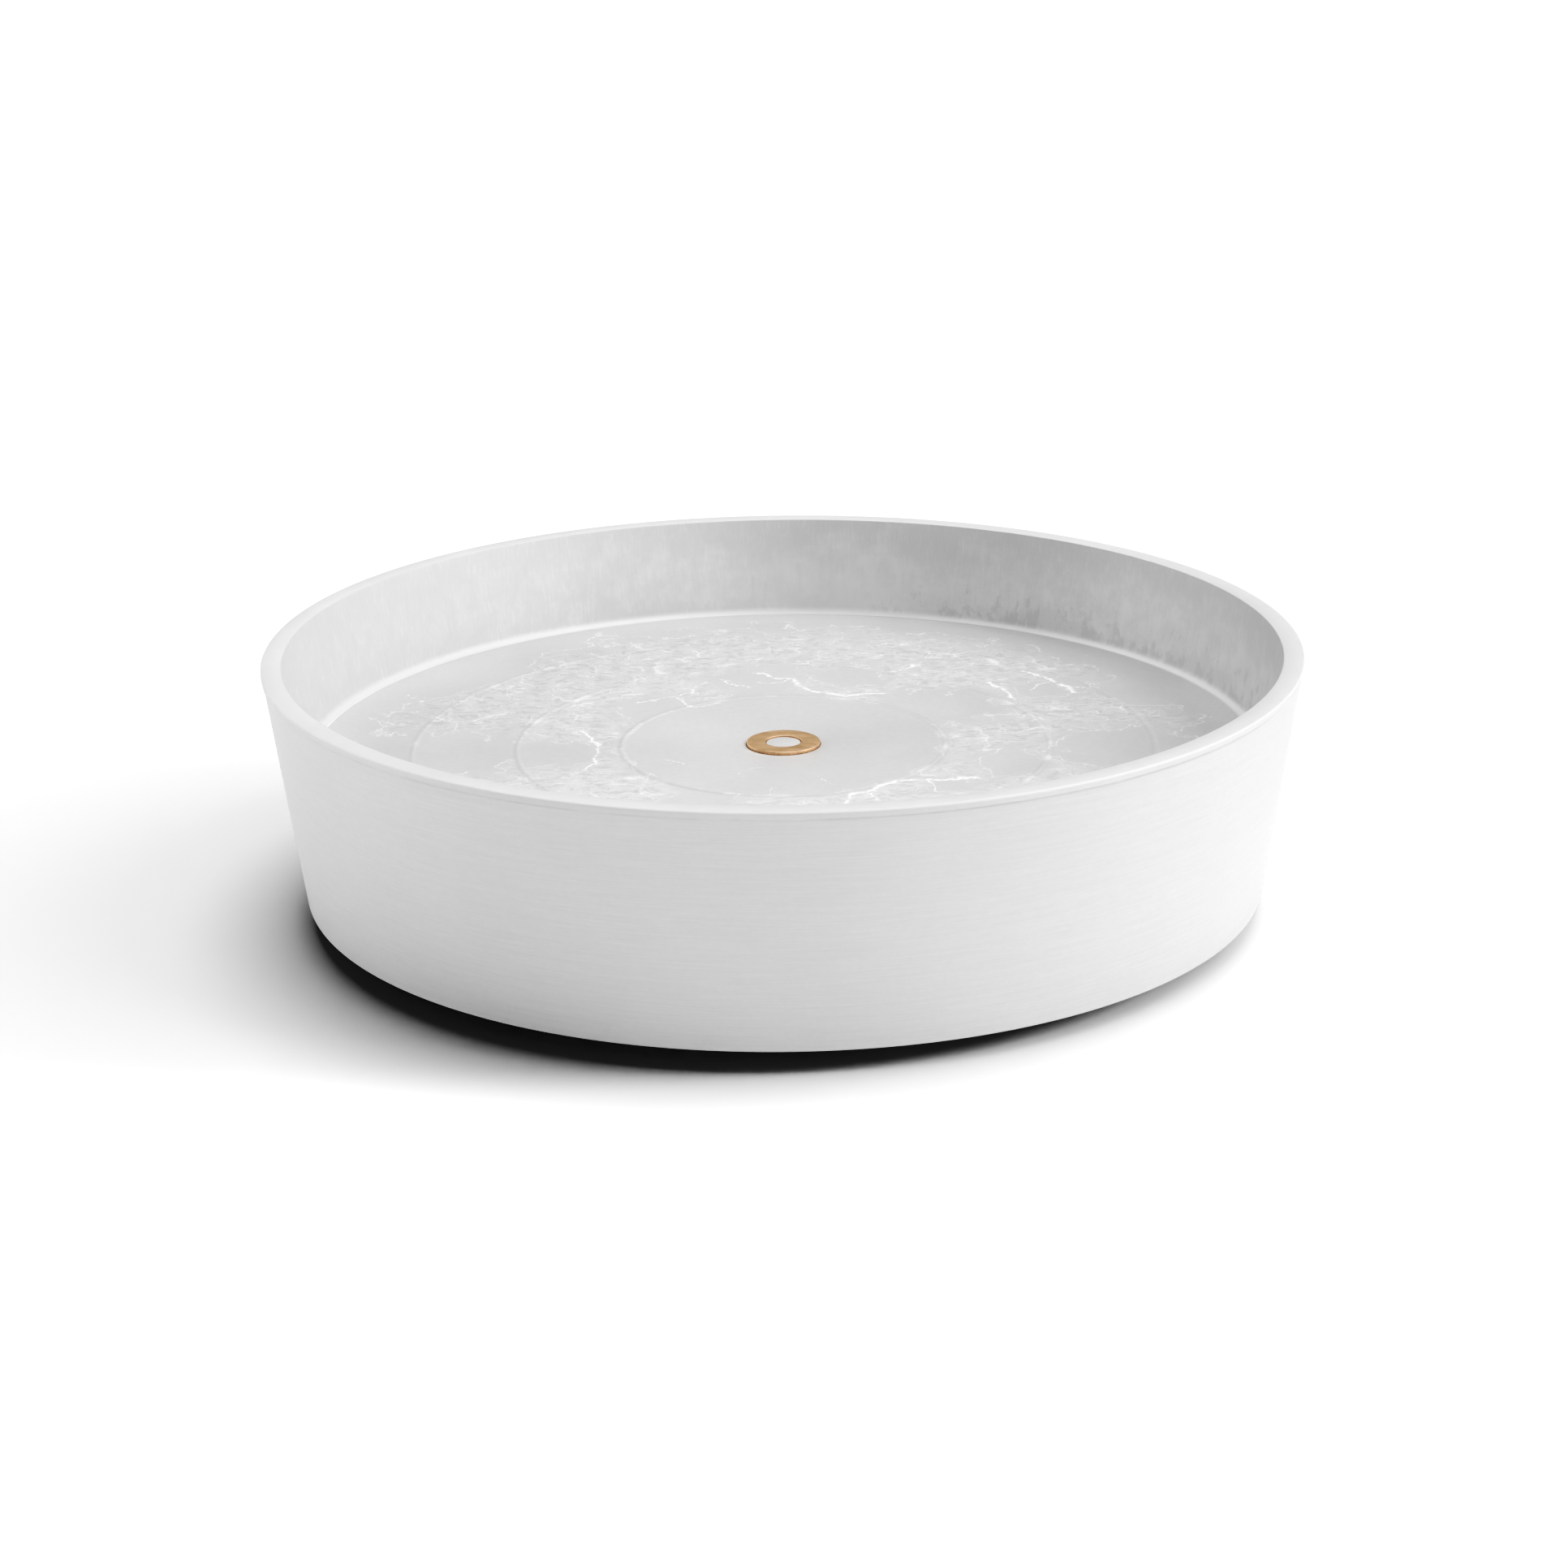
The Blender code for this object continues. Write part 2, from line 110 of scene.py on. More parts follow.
cavity_top_radius = cavity_bottom_radius - (floor_bottom - skirt_bottom) * tan(CAVITY_DRAFT)
spigot_radius = RING_HOLE_RADIUS - SEAT_GAP
spigot_top = ring_high.z - SPIGOT_DROP
seat_radius = ring_high.x + SEAT_GAP
seat_height = ring_low.z - SEAT_GAP


def middle(node_name):
    """Middle of a CAD node's box."""
    low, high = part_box(node_name)
    return (low + high) / 2


def turned(outline, steps, closed=False):
    """Bmesh turned about Z from an outline of (radius, height)."""
    bm = bmesh.new()
    verts = [bm.verts.new((radius, 0, height)) for radius, height in outline]
    loop = verts + verts[:1] if closed else verts
    edges = [bm.edges.new(pair) for pair in zip(loop, loop[1:])]
    bmesh.ops.spin(bm, geom=verts + edges, axis=(0, 0, 1), angle=2 * pi, steps=steps, use_merge=True)
    bmesh.ops.remove_doubles(bm, verts=bm.verts, dist=MERGE_DISTANCE)
    bmesh.ops.recalc_face_normals(bm, faces=bm.faces)
    return bm


def rounded(bm, edges, width, segments):
    """Rounds some edges of a bmesh."""
    bmesh.ops.bevel(bm, geom=edges, offset=width, segments=segments, profile=0.5,
                    affect="EDGES", material=-1)


def round_ring(bm, radius, height, width, segments):
    """Rounds the ring of edges that runs at one radius and height."""
    def on_ring(vert):
        off_radius, off_height = vert.co.xy.length - radius, vert.co.z - height
        return abs(off_radius) < RING_TOLERANCE and abs(off_height) < RING_TOLERANCE
    rounded(bm, [edge for edge in bm.edges if all(on_ring(vert) for vert in edge.verts)], width, segments)


def round_sharp(bm, width, segments=FINE_EDGE_STEPS):
    """Rounds every sharp edge."""
    sharp = [edge for edge in bm.edges if edge.is_manifold and edge.calc_face_angle() > SHARP_ANGLE]
    rounded(bm, sharp, width, segments)


def rods(places, radius, bottom, top, edge=0.0, steps=SMALL_STEPS):
    """Bmesh of one upright round rod at each place, its lower edge rounded."""
    bm = bmesh.new()
    for place in places:
        centre = Matrix.Translation((place.x, place.y, (bottom + top) / 2))
        bmesh.ops.create_cone(bm, cap_ends=True, segments=steps, radius1=radius, radius2=radius,
                              depth=top - bottom, matrix=centre)
    if edge:
        def at_bottom(vert):
            return abs(vert.co.z - bottom) < MERGE_DISTANCE
        lower = [line for line in bm.edges if all(at_bottom(vert) for vert in line.verts)]
        rounded(bm, lower, edge, PAD_EDGE_STEPS)
    return bm


def shown(name, bm, finishes):
    """Object of a bmesh, shaded smooth over its rounds."""
    mesh = bpy.data.meshes.new(name)
    bm.to_mesh(mesh)
    bm.free()
    for finish in finishes:
        mesh.materials.append(finish)
    mesh.shade_smooth()
    mesh.set_sharp_from_angle(angle=SMOOTH_ANGLE)
    piece = bpy.data.objects.new(name, mesh)
    bpy.context.collection.objects.link(piece)
    return piece


def carved(piece, tool_bm, operation):
    """Joins a tool shape to a piece, or cuts it out of it."""
    tool = shown("tool", tool_bm, piece.data.materials)
    for face in tool.data.polygons:
        face.material_index = len(piece.data.materials) - 1
    modifier = piece.modifiers.new("carve", "BOOLEAN")
    modifier.operation = operation
    modifier.solver = "EXACT"
    modifier.object = tool
    depsgraph = bpy.context.evaluated_depsgraph_get()
    old_mesh = piece.data
    piece.data = bpy.data.meshes.new_from_object(piece.evaluated_get(depsgraph))
    piece.modifiers.clear()
    piece.data.set_sharp_from_angle(angle=SMOOTH_ANGLE)
    bpy.data.objects.remove(tool)
    bpy.data.meshes.remove(old_mesh)


def node(tree, kind, values=(), **settings):
    """One shader node. Each value, by place or by name, is a socket to link or a constant."""
    made = tree.nodes.new(kind)
    for key, setting in settings.items():
        setattr(made, key, setting)
    pairs = values.items() if isinstance(values, dict) else enumerate(values)
    for key, value in pairs:
        if isinstance(value, bpy.types.NodeSocket):
            tree.links.new(value, made.inputs[key])
        else:
            made.inputs[key].default_value = value
    return made


def maths(tree, operation, *values):
    """A number worked out from numbers."""
    return node(tree, "ShaderNodeMath", values, operation=operation).outputs[0]


def vectors(tree, operation, *values):
    """A vector worked out from vectors."""
    return node(tree, "ShaderNodeVectorMath", values, operation=operation).outputs["Vector"]


def measure(tree, operation, *values):
    """A number worked out from vectors."""
    return node(tree, "ShaderNodeVectorMath", values, operation=operation).outputs["Value"]


def scaled(tree, vector, factor):
    """A vector or a colour times a number."""
    values = {"Vector": vector, "Scale": factor}
    return node(tree, "ShaderNodeVectorMath", values, operation="SCALE").outputs["Vector"]


def chained(tree, operation, first, *others):
    """One sum after another, each on the last one's result."""
    result = first
    for other in others:
        result = maths(tree, operation, result, other)
    return result


def product(tree, *values):
    return chained(tree, "MULTIPLY", *values)


def most(tree, *values):
    return chained(tree, "MAXIMUM", *values)


def weighed(tree, *shares):
    """Sum of some values, each at its own weight."""
    return chained(tree, "ADD", *[product(tree, value, weight) for value, weight in shares])


def apart(tree, value, other):
    """How far a value lies from another, either way."""
    return maths(tree, "ABSOLUTE", maths(tree, "SUBTRACT", value, other))


def span(tree, value, given, wanted=(0.0, 1.0)):
    """A value carried from a given range to a wanted one, and kept inside it."""
    return node(tree, "ShaderNodeMapRange", (value, *given, *wanted)).outputs[0]


def noise(tree, place, scale, detail=2.0, roughness=0.5, distortion=0.0):
    values = {"Vector": place, "Scale": scale, "Detail": detail,
              "Roughness": roughness, "Distortion": distortion}
    return node(tree, "ShaderNodeTexNoise", values).outputs[0]


def streaky(tree, place, scales, detail=2.0, roughness=0.5):
    """Noise with a scale for each axis, drawn out where the scale is small."""
    return noise(tree, vectors(tree, "MULTIPLY", place, scales), 1.0, detail, roughness)


def bump(tree, height, distance, strength):
    values = {"Height": height, "Distance": distance, "Strength": strength}
    return node(tree, "ShaderNodeBump", values).outputs[0]


MIX_COLOURS = (6, 7)
MIX_RESULT = 2


def blend(tree, factor, first, second):
    """Colour between two colours."""
    mixer = node(tree, "ShaderNodeMix", {"Factor": factor}, data_type="RGBA")
    for key, colour in zip(MIX_COLOURS, (first, second)):
        if isinstance(colour, bpy.types.NodeSocket):
            tree.links.new(colour, mixer.inputs[key])
        else:
            mixer.inputs[key].default_value = (*colour, 1.0)
    return mixer.outputs[MIX_RESULT]


def grey(value):
    return (value, value, value)


def tinted(colour, factor):
    """A plain colour made lighter or darker."""
    return tuple(factor * channel for channel in colour)


def new_finish(name):
    """Material, its tree, its shader and the place on the object in metres."""
    finish = bpy.data.materials.new(name)
    finish.use_nodes = True
    tree = finish.node_tree
    place = node(tree, "ShaderNodeTexCoord").outputs["Object"]
    return finish, tree, tree.nodes["Principled BSDF"], place


def wire(tree, shader, **results):
    """Links a finish's results to its shader's sockets of the same name."""
    for name, result in results.items():
        tree.links.new(result, shader.inputs[name.replace("_", " ")])


PLASTIC = grey(0.645)
# Outside plastic: the same plastic made a little darker all over, as painted shade
OUTSIDE_SHADED_PLASTIC = grey(0.606)
PLASTIC_GLOSS = 0.35
LONG_STREAKS = (30, 30, 1300)
SHORT_STREAKS = (160, 160, 2600)


def brushed_plastic():
    """Outside and rim: the plastic a little darker as painted shade, fine level streaks over faint clouding,
    a painted shadow line under the rim's lip step, and painted light on the rim's top and outer round.
    """
    finish, tree, shader, place = new_finish("saucer_brushed_plastic")
    long_streaks = streaky(tree, place, LONG_STREAKS, detail=3.0)
    short_streaks = streaky(tree, place, SHORT_STREAKS)
    clouds = noise(tree, place, scale=16.0, detail=3.0)
    grain = noise(tree, place, scale=520.0, detail=4.0, roughness=0.7)
    streaks = weighed(tree, (long_streaks, 0.6), (short_streaks, 0.4))
    tone = weighed(tree, (streaks, 0.6), (clouds, 0.2), (grain, 0.2))
    dark, light = tinted(OUTSIDE_SHADED_PLASTIC, 0.958), tinted(OUTSIDE_SHADED_PLASTIC, 1.044)
    colour = blend(tree, span(tree, tone, (0.36, 0.64)), dark, light)

    height = node(tree, "ShaderNodeSeparateXYZ", (place,)).outputs["Z"]
    # Painted shadow: a broken dark line just under the rim's lip step, where the step shades the wall
    off_lip_step = apart(tree, height, lip_bottom - LIP_STEP / 4)
    broken = span(tree, noise(tree, place, scale=90.0, detail=3.0), (0.30, 0.60))
    painted_lip_shadow = product(tree, span(tree, off_lip_step, (0.0001, 0.0006), (0.35, 0.0)), broken)
    colour = blend(tree, painted_lip_shadow, colour, tinted(OUTSIDE_SHADED_PLASTIC, 0.7))
    # Painted light: the rim's top and its outer round are made paler, as if lit from above
    painted_rim_light = span(tree, height, (rim_top - RIM_EDGE, rim_top - RIM_EDGE / 3), (0.0, 0.5))
    colour = blend(tree, painted_rim_light, colour, tinted(OUTSIDE_SHADED_PLASTIC, 1.10))
    roughness = span(tree, streaks, (0.3, 0.7), (0.48, 0.62))
    normal = bump(tree, streaks, distance=0.00005, strength=0.4)
    wire(tree, shader, Base_Color=colour, Roughness=roughness, Normal=normal)
    shader.inputs["Specular IOR Level"].default_value = PLASTIC_GLOSS
    return finish


BROAD_FLOW = (420, 420, 60)
FINE_FLOW = (1700, 1700, 190)
FLOW_CLOUDS = (36, 36, 60)
WALL_STAINS = (200, 200, 120)
CORNER_LINE_HEIGHT = 0.0006


def streaked_plastic():
    """Tray wall: upright flow streaks, a ragged milky film, a pale line of it in the corner with a painted
    highlight, and painted light and shade by side and at the foot of the back wall.
    """
    finish, tree, shader, place = new_finish("saucer_streaked_plastic")
    level = vectors(tree, "MULTIPLY", place, (1, 1, 0))
    wall_foot = (tray_floor_radius, tray_floor_radius, 0)
    round_wall = vectors(tree, "MULTIPLY", vectors(tree, "NORMALIZE", level), wall_foot)
    wall = vectors(tree, "ADD", round_wall, vectors(tree, "MULTIPLY", place, (0, 0, 1)))
    across, _, height = node(tree, "ShaderNodeSeparateXYZ", (place,)).outputs
    rise = span(tree, height, (floor_top, rim_top))

    broad = streaky(tree, wall, BROAD_FLOW, detail=3.0)
    fine = streaky(tree, wall, FINE_FLOW, detail=3.0, roughness=0.6)
    clouds = streaky(tree, wall, FLOW_CLOUDS, detail=4.0, roughness=0.6)
    mottle = noise(tree, wall, scale=130.0, detail=4.0, roughness=0.65)
    streaks = weighed(tree, (broad, 0.35), (fine, 0.35), (mottle, 0.3))
    hairs = product(tree, span(tree, fine, (0.53, 0.63)), span(tree, mottle, (0.42, 0.60)), 0.35)
    lightness = span(tree, streaks, (0.36, 0.64))
    colour = blend(tree, lightness, tinted(PLASTIC, 0.945), tinted(PLASTIC, 0.995))

    ragged = maths(tree, "SUBTRACT", weighed(tree, (clouds, 1.5), (broad, 0.8)), 1.15)
    below_rim = span(tree, maths(tree, "ADD", rise, ragged), (0.55, 0.90), (1.0, 0.0))
    above_floor = span(tree, maths(tree, "SUBTRACT", rise, ragged), (0.10, 0.22))
    uneven = span(tree, mottle, (0.35, 0.60), (0.35, 1.0))
    thin_left = span(tree, across, (-0.13, -0.02), (0.2, 1.0))
    film = product(tree, below_rim, above_floor, uneven, thin_left)
    milky = blend(tree, lightness, tinted(PLASTIC, 1.01), tinted(PLASTIC, 1.13))
    colour = blend(tree, film, colour, milky)

    # Painted light: the foot of the back wall is made paler where the corner shades it
    at_back = product(tree, span(tree, rise, (0.0, 0.8), (0.8, 0.0)), span(tree, across, (-0.06, 0.04)))
    painted_foot_light = product(tree, at_back, span(tree, across, (0.035, 0.065), (1.0, 0.35)))
    colour = blend(tree, painted_foot_light, colour, tinted(PLASTIC, 1.40))

    stains = streaky(tree, wall, WALL_STAINS, detail=5.0, roughness=0.7)
    stains = span(tree, maths(tree, "SUBTRACT", stains, product(tree, rise, 0.42)), (0.44, 0.50))
    stains = product(tree, stains, span(tree, across, (0.02, 0.07), (0.0, 0.36)))
    colour = blend(tree, stains, colour, tinted(PLASTIC, 0.80))
    colour = blend(tree, hairs, colour, tinted(PLASTIC, 1.12))

    # Pale line in the corner: partly dried film, partly a painted highlight along the fillet, faint on the
    # lit left and strong on the shaded right
    off_corner = apart(tree, height, floor_top + CORNER_LINE_HEIGHT)
    in_corner = span(tree, off_corner, (0.0002, 0.0011), (1.0, 0.0))
    shaded_right = span(tree, across, (-0.12, 0.02))
    corner_film_and_highlight = blend(tree, shaded_right, tinted(PLASTIC, 1.02), tinted(PLASTIC, 1.24))
    colour = blend(tree, in_corner, colour, corner_film_and_highlight)

    # Painted shade and light: the wall is darkened most at the left, a little over its right half and more
    # at the far right, and painted light makes it paler at the back right
    painted_left_shade = span(tree, across, (-0.16, -0.03), (0.87, 0.98))
    back = span(tree, across, (-0.03, 0.0), (1.0, 0.97))
    painted_back_right_light = span(tree, across, (0.015, 0.065), (1.0, 1.15))
    painted_right_shade = span(tree, across, (0.125, 0.165), (1.0, 0.80))
    for gain in (painted_left_shade, back, painted_back_right_light, painted_right_shade):
        colour = scaled(tree, colour, gain)
    roughness = span(tree, streaks, (0.3, 0.7), (0.42, 0.6))
    normal = bump(tree, streaks, distance=0.00008, strength=0.5)
    wire(tree, shader, Base_Color=colour, Roughness=roughness, Normal=normal)
    shader.inputs["Specular IOR Level"].default_value = PLASTIC_GLOSS
    return finish


# Veins on the tray floor, as runs of points (x, y) in millimetres from the middle, each with its width
FLOOR_VEINS = (
    (1.5, ((-10, 84), (-3, 78), (4, 75), (6, 66), (11, 59), (22, 56), (35, 57))),
    (0.7, ((4, 75), (-2, 71), (-9, 72))),
    (0.8, ((-23, 75), (-17, 69), (-12, 64))),
    (0.8, ((-27, 72), (-33, 61), (-42, 53), (-52, 48))),
    (0.9, ((-37, 53), (-34, 44), (-22, 47))),
    (1.7, ((87, 83), (96, 72), (105, 55))),
    (0.8, ((96, 72), (91, 66), (88, 57))),
    (0.7, ((101, 62), (108, 60))),
    (1.4, ((75, 68), (79, 58), (81, 49))),
    (1.0, ((40, 83), (44, 90), (50, 92))),
    (1.2, ((-70, 16), (-63, 4), (-64, -12), (-65, -25))),
    (1.3, ((20, -62), (23, -55), (28, -50), (33, -43), (47, -39), (64, -39))),
    (0.8, ((46, -40), (48, -47), (50, -53))),
    (0.7, ((27, -58), (30, -50))),
    (0.4, ((-42, -14), (-34, -19))),
    (0.4, ((-15, -32), (-8, -25))),
    (0.4, ((10, -32), (12, -40), (16, -45))),
    (0.5, ((-5, -46), (-4, -56))),
)
VEIN_CORE = 0.0001
MILLIMETRES = 1000


def vein_stretch_group():
    """Node group: distance from a point on the floor to one straight stretch of a vein."""
    group = bpy.data.node_groups.new("vein_stretch", "ShaderNodeTree")
    for socket in ("Point", "Start", "End"):
        group.interface.new_socket(socket, in_out="INPUT", socket_type="NodeSocketVector")
    group.interface.new_socket("Distance", in_out="OUTPUT", socket_type="NodeSocketFloat")
    given = group.nodes.new("NodeGroupInput").outputs
    along = vectors(group, "SUBTRACT", given["End"], given["Start"])
    reach = vectors(group, "SUBTRACT", given["Point"], given["Start"])
    covered = measure(group, "DOT_PRODUCT", along, reach)
    whole = measure(group, "DOT_PRODUCT", along, along)
    share = node(group, "ShaderNodeMath", (covered, whole), operation="DIVIDE", use_clamp=True).outputs[0]
    gap = measure(group, "DISTANCE", reach, scaled(group, along, share))
    group.links.new(gap, group.nodes.new("NodeGroupOutput").inputs["Distance"])
    return group


# Bare patches in the milky film on the tray floor, as (x, y, reach) in millimetres from the middle.
# A patch is quite bare to half its reach and ends at one and a half.
BARE_PATCHES = (
    (-112, -6, 26), (-78, -8, 16), (-8, 74, 19), (24, 78, 15), (-44, 42, 15), (58, 42, 21), (112, -8, 24),
    (54, -46, 9), (96, 62, 13), (-118, 92, 24), (124, 56, 13), (-30, -62, 13), (76, -24, 14),
)
PATCH_CORE = 0.0005
PATCH_END = 0.0015
FILM_INSIDE = (0.050, 0.062)
FILM_OUTSIDE = (0.122, 0.156)
DRIED_FILM_AND_LIGHT_WIDTH = (0.016, 0.004)


def veined_plastic():
    """Tray floor: smooth plastic with patches of wrinkled film, pale veins and fine cracks, with painted
    shade at the ring feet and painted light and shade by side.
    """
    finish, tree, shader, place = new_finish("saucer_veined_plastic")
    level = vectors(tree, "MULTIPLY", place, (1, 1, 0))
    radius = measure(tree, "LENGTH", level)
    across, along, _ = node(tree, "ShaderNodeSeparateXYZ", (level,)).outputs

    def wander(scale, reach):
        values = {"Vector": level, "Scale": scale, "Detail": 2.0}
        swirl = node(tree, "ShaderNodeTexNoise", values).outputs["Color"]
        return vectors(tree, "MULTIPLY", vectors(tree, "SUBTRACT", swirl, grey(0.5)), (reach, reach, 0))

    bent = vectors(tree, "ADD", level, wander(scale=95.0, reach=0.010))
    bent = vectors(tree, "ADD", bent, wander(scale=420.0, reach=0.0020))

    patches = []
    for x, y, reach in BARE_PATCHES:
        away = measure(tree, "DISTANCE", bent, (x / MILLIMETRES, y / MILLIMETRES, 0))
        patches.append(span(tree, away, (reach * PATCH_CORE, reach * PATCH_END), (1.0, 0.0)))
    ragged = noise(tree, level, scale=62.0, detail=4.0, roughness=0.6)
    film_ends = (span(tree, radius, FILM_INSIDE), span(tree, radius, FILM_OUTSIDE, (1.0, 0.0)))
    field = maths(tree, "SUBTRACT", maths(tree, "MINIMUM", *film_ends), most(tree, *patches))
    field = maths(tree, "ADD", field, product(tree, maths(tree, "SUBTRACT", ragged, 0.5), 1.6))
    film = span(tree, field, (0.34, 0.80))
    film_rim = span(tree, apart(tree, field, 0.40), (0.0, 0.035), (1.0, 0.0))

    ripple = vectors(tree, "MULTIPLY", bent, (0.42, 1.0, 1.0))
    ripple = noise(tree, ripple, scale=460.0, detail=4.0, roughness=0.65, distortion=0.6)
    folds = span(tree, apart(tree, ripple, 0.5), (0.0, 0.026), (1.0, 0.0))
    fine_ripple = vectors(tree, "MULTIPLY", bent, (0.35, 1.0, 1.0))
    fine_ripple = noise(tree, fine_ripple, scale=800.0, detail=3.0, roughness=0.6)
    strokes = span(tree, fine_ripple, (0.54, 0.64))
    cells = node(tree, "ShaderNodeTexVoronoi", {"Vector": bent, "Scale": 70.0}, feature="DISTANCE_TO_EDGE")
    cracks = span(tree, cells.outputs["Distance"], (0.0, 0.035), (1.0, 0.0))
    thin = span(tree, noise(tree, level, scale=120.0), (0.40, 0.60))
    marks = most(tree, product(tree, folds, 0.6), product(tree, cracks, thin, 0.7),
                 product(tree, strokes, 0.5))
    marks = product(tree, marks, film, span(tree, thin, (0.0, 1.0), (0.35, 1.0)))
    marks = most(tree, marks, product(tree, film_rim, thin, 0.7))

    off_ridge = maths(tree, "SUBTRACT", radius, inner_ridge - RIDGE_PITCH / 2)
    off_ridge = maths(tree, "FLOORED_MODULO", off_ridge, RIDGE_PITCH)
    off_ridge = maths(tree, "SUBTRACT", off_ridge, RIDGE_PITCH / 2)
    off_middle = apart(tree, radius, (inner_ridge + outer_ridge) / 2)
    among_ridges = maths(tree, "LESS_THAN", off_middle, RIDGE_PITCH * RIDGE_COUNT / 2)
    # Painted shade: a dark line along the foot of each raised ring, where the ring shades the floor
    foot = span(tree, apart(tree, off_ridge, RIDGE_WIDTH * 0.4), (0.0002, 0.0010), (1.0, 0.0))
    foot = product(tree, foot, among_ridges, 0.8)
    crest = span(tree, maths(tree, "ABSOLUTE", off_ridge), (0.0004, 0.0018), (1.0, 0.0))
    crest_film = product(tree, crest, among_ridges, span(tree, ragged, (0.50, 0.62)), thin)
    marks = most(tree, marks, product(tree, crest_film, 0.5))

    group = vein_stretch_group()
    fraying = noise(tree, level, scale=700.0, detail=3.0, roughness=0.7)
    frayed = span(tree, fraying, (0.30, 0.70), (-0.0003, 0.0007))
    lines = []
    for width, points in FLOOR_VEINS:
        run = [(x / MILLIMETRES, y / MILLIMETRES, 0) for x, y in points]
        for start, end in zip(run, run[1:]):
            ends = {"Point": bent, "Start": start, "End": end}
            stretch = node(tree, "ShaderNodeGroup", ends, node_tree=group)
            away = maths(tree, "ADD", stretch.outputs["Distance"], frayed)
            lines.append(span(tree, away, (VEIN_CORE, width / MILLIMETRES), (1.0, 0.0)))
    breaks = span(tree, noise(tree, level, scale=380.0), (0.34, 0.50))
    veins = product(tree, most(tree, *lines), breaks)

    clouds = noise(tree, level, scale=20.0, detail=4.0, roughness=0.55)
    grain = noise(tree, level, scale=420.0, detail=4.0, roughness=0.7)
    tone = span(tree, weighed(tree, (clouds, 0.6), (grain, 0.4)), (0.38, 0.62))
    colour = blend(tree, tone, tinted(PLASTIC, 0.855), tinted(PLASTIC, 0.935))
    milky = blend(tree, span(tree, ripple, (0.35, 0.65)), tinted(PLASTIC, 0.78), tinted(PLASTIC, 0.97))
    colour = blend(tree, film, colour, milky)

    # Painted shade and light: the floor is made a little darker towards its sides and back and paler towards
    # the front, and paler along the wall, where painted light lifts the wall's shadow and a pale edge of
    # dried film lies
    painted_left_shade = span(tree, across, (-0.14, -0.03), (0.885, 1.0))
    painted_right_side_shade = span(tree, across, (0.03, 0.14), (1.0, 0.85))
    back = span(tree, along, (0.06, 0.14), (1.0, 0.92))
    front = span(tree, along, (-0.06, 0.0), (1.06, 1.0))
    by_wall = span(tree, radius, [tray_floor_radius - width for width in DRIED_FILM_AND_LIGHT_WIDTH])
    by_wall = product(tree, by_wall, span(tree, across, (-0.08, 0.03)))
    by_wall = product(tree, by_wall, span(tree, across, (0.05, 0.12), (1.0, 0.3)))
    dried_film_and_painted_light = span(tree, by_wall, (0.0, 1.0), (1.0, 1.22))
    for gain in (painted_left_shade, painted_right_side_shade, back, front, dried_film_and_painted_light):
        colour = scaled(tree, colour, gain)
    colour = blend(tree, foot, colour, tinted(PLASTIC, 0.80))
    colour = blend(tree, marks, colour, tinted(PLASTIC, 1.26))
    colour = blend(tree, veins, colour, tinted(PLASTIC, 1.34))
    roughness = span(tree, film, (0.0, 1.0), (0.42, 0.6))
    normal = bump(tree, ripple, distance=0.0004, strength=span(tree, film, (0.0, 1.0), (0.04, 0.8)))
    wire(tree, shader, Base_Color=colour, Roughness=roughness, Normal=normal)
    shader.inputs["Specular IOR Level"].default_value = PLASTIC_GLOSS
    return finish


def underside_plastic():
    """Inside the skirt: the same plastic as it left the mould, dull and a little uneven."""
    finish, tree, shader, place = new_finish("saucer_underside_plastic")
    clouds = noise(tree, place, scale=40.0, detail=4.0, roughness=0.6)
    grain = noise(tree, place, scale=1200.0)
    tone = span(tree, weighed(tree, (clouds, 0.7), (grain, 0.3)), (0.35, 0.65))
    colour = blend(tree, tone, tinted(PLASTIC, 0.90), PLASTIC)
    roughness = span(tree, grain, (0.3, 0.7), (0.6, 0.72))
    normal = bump(tree, grain, distance=0.0001, strength=0.5)
    wire(tree, shader, Base_Color=colour, Roughness=roughness, Normal=normal)
    return finish


def ridge_points(radius):
    """Cross-section of one raised ring, a smooth swell from foot to foot."""
    half = RIDGE_WIDTH / 2
    points = []
    for step in range(RIDGE_STEPS + 1):
        offset = half * (2 * step / RIDGE_STEPS - 1)
        swell = 0.5 + 0.5 * cos(pi * offset / half)
        points.append((radius + offset, floor_top + RIDGE_HEIGHT * swell))
    return points


shell_outline = [
    (0, spigot_top),
    (spigot_radius, spigot_top),
    (spigot_radius, seat_height),
    (seat_radius, seat_height),
    (seat_radius, floor_top),
]
for ridge in reversed(range(RIDGE_COUNT)):
    shell_outline += ridge_points(outer_ridge - ridge * RIDGE_PITCH)
shell_outline += [
    (tray_floor_radius - TRAY_ROUND - FLAT_STRIP, floor_top),
    (tray_floor_radius, floor_top),
    (tray_top_radius, rim_top),
    (top_radius, rim_top),
    (lip_radius, lip_bottom),
    (lip_radius - LIP_STEP, lip_bottom - LIP_STEP / 2),
    (bottom_radius, skirt_bottom),
    (cavity_bottom_radius, skirt_bottom),
    (cavity_top_radius, floor_bottom),
    (0, floor_bottom),
]
shell = turned(shell_outline, SHELL_STEPS)
round_ring(shell, spigot_radius, spigot_top, SPIGOT_EDGE, FINE_EDGE_STEPS)
round_ring(shell, seat_radius, floor_top, SPIGOT_EDGE, FINE_EDGE_STEPS)
round_ring(shell, tray_floor_radius, floor_top, TRAY_ROUND, TRAY_CORNER_STEPS)
round_ring(shell, tray_top_radius, rim_top, RIM_INSIDE_EDGE, FINE_EDGE_STEPS)
round_ring(shell, top_radius, rim_top, RIM_EDGE, CORNER_STEPS)
round_ring(shell, bottom_radius, skirt_bottom, SKIRT_EDGE_ROUND, CORNER_STEPS)
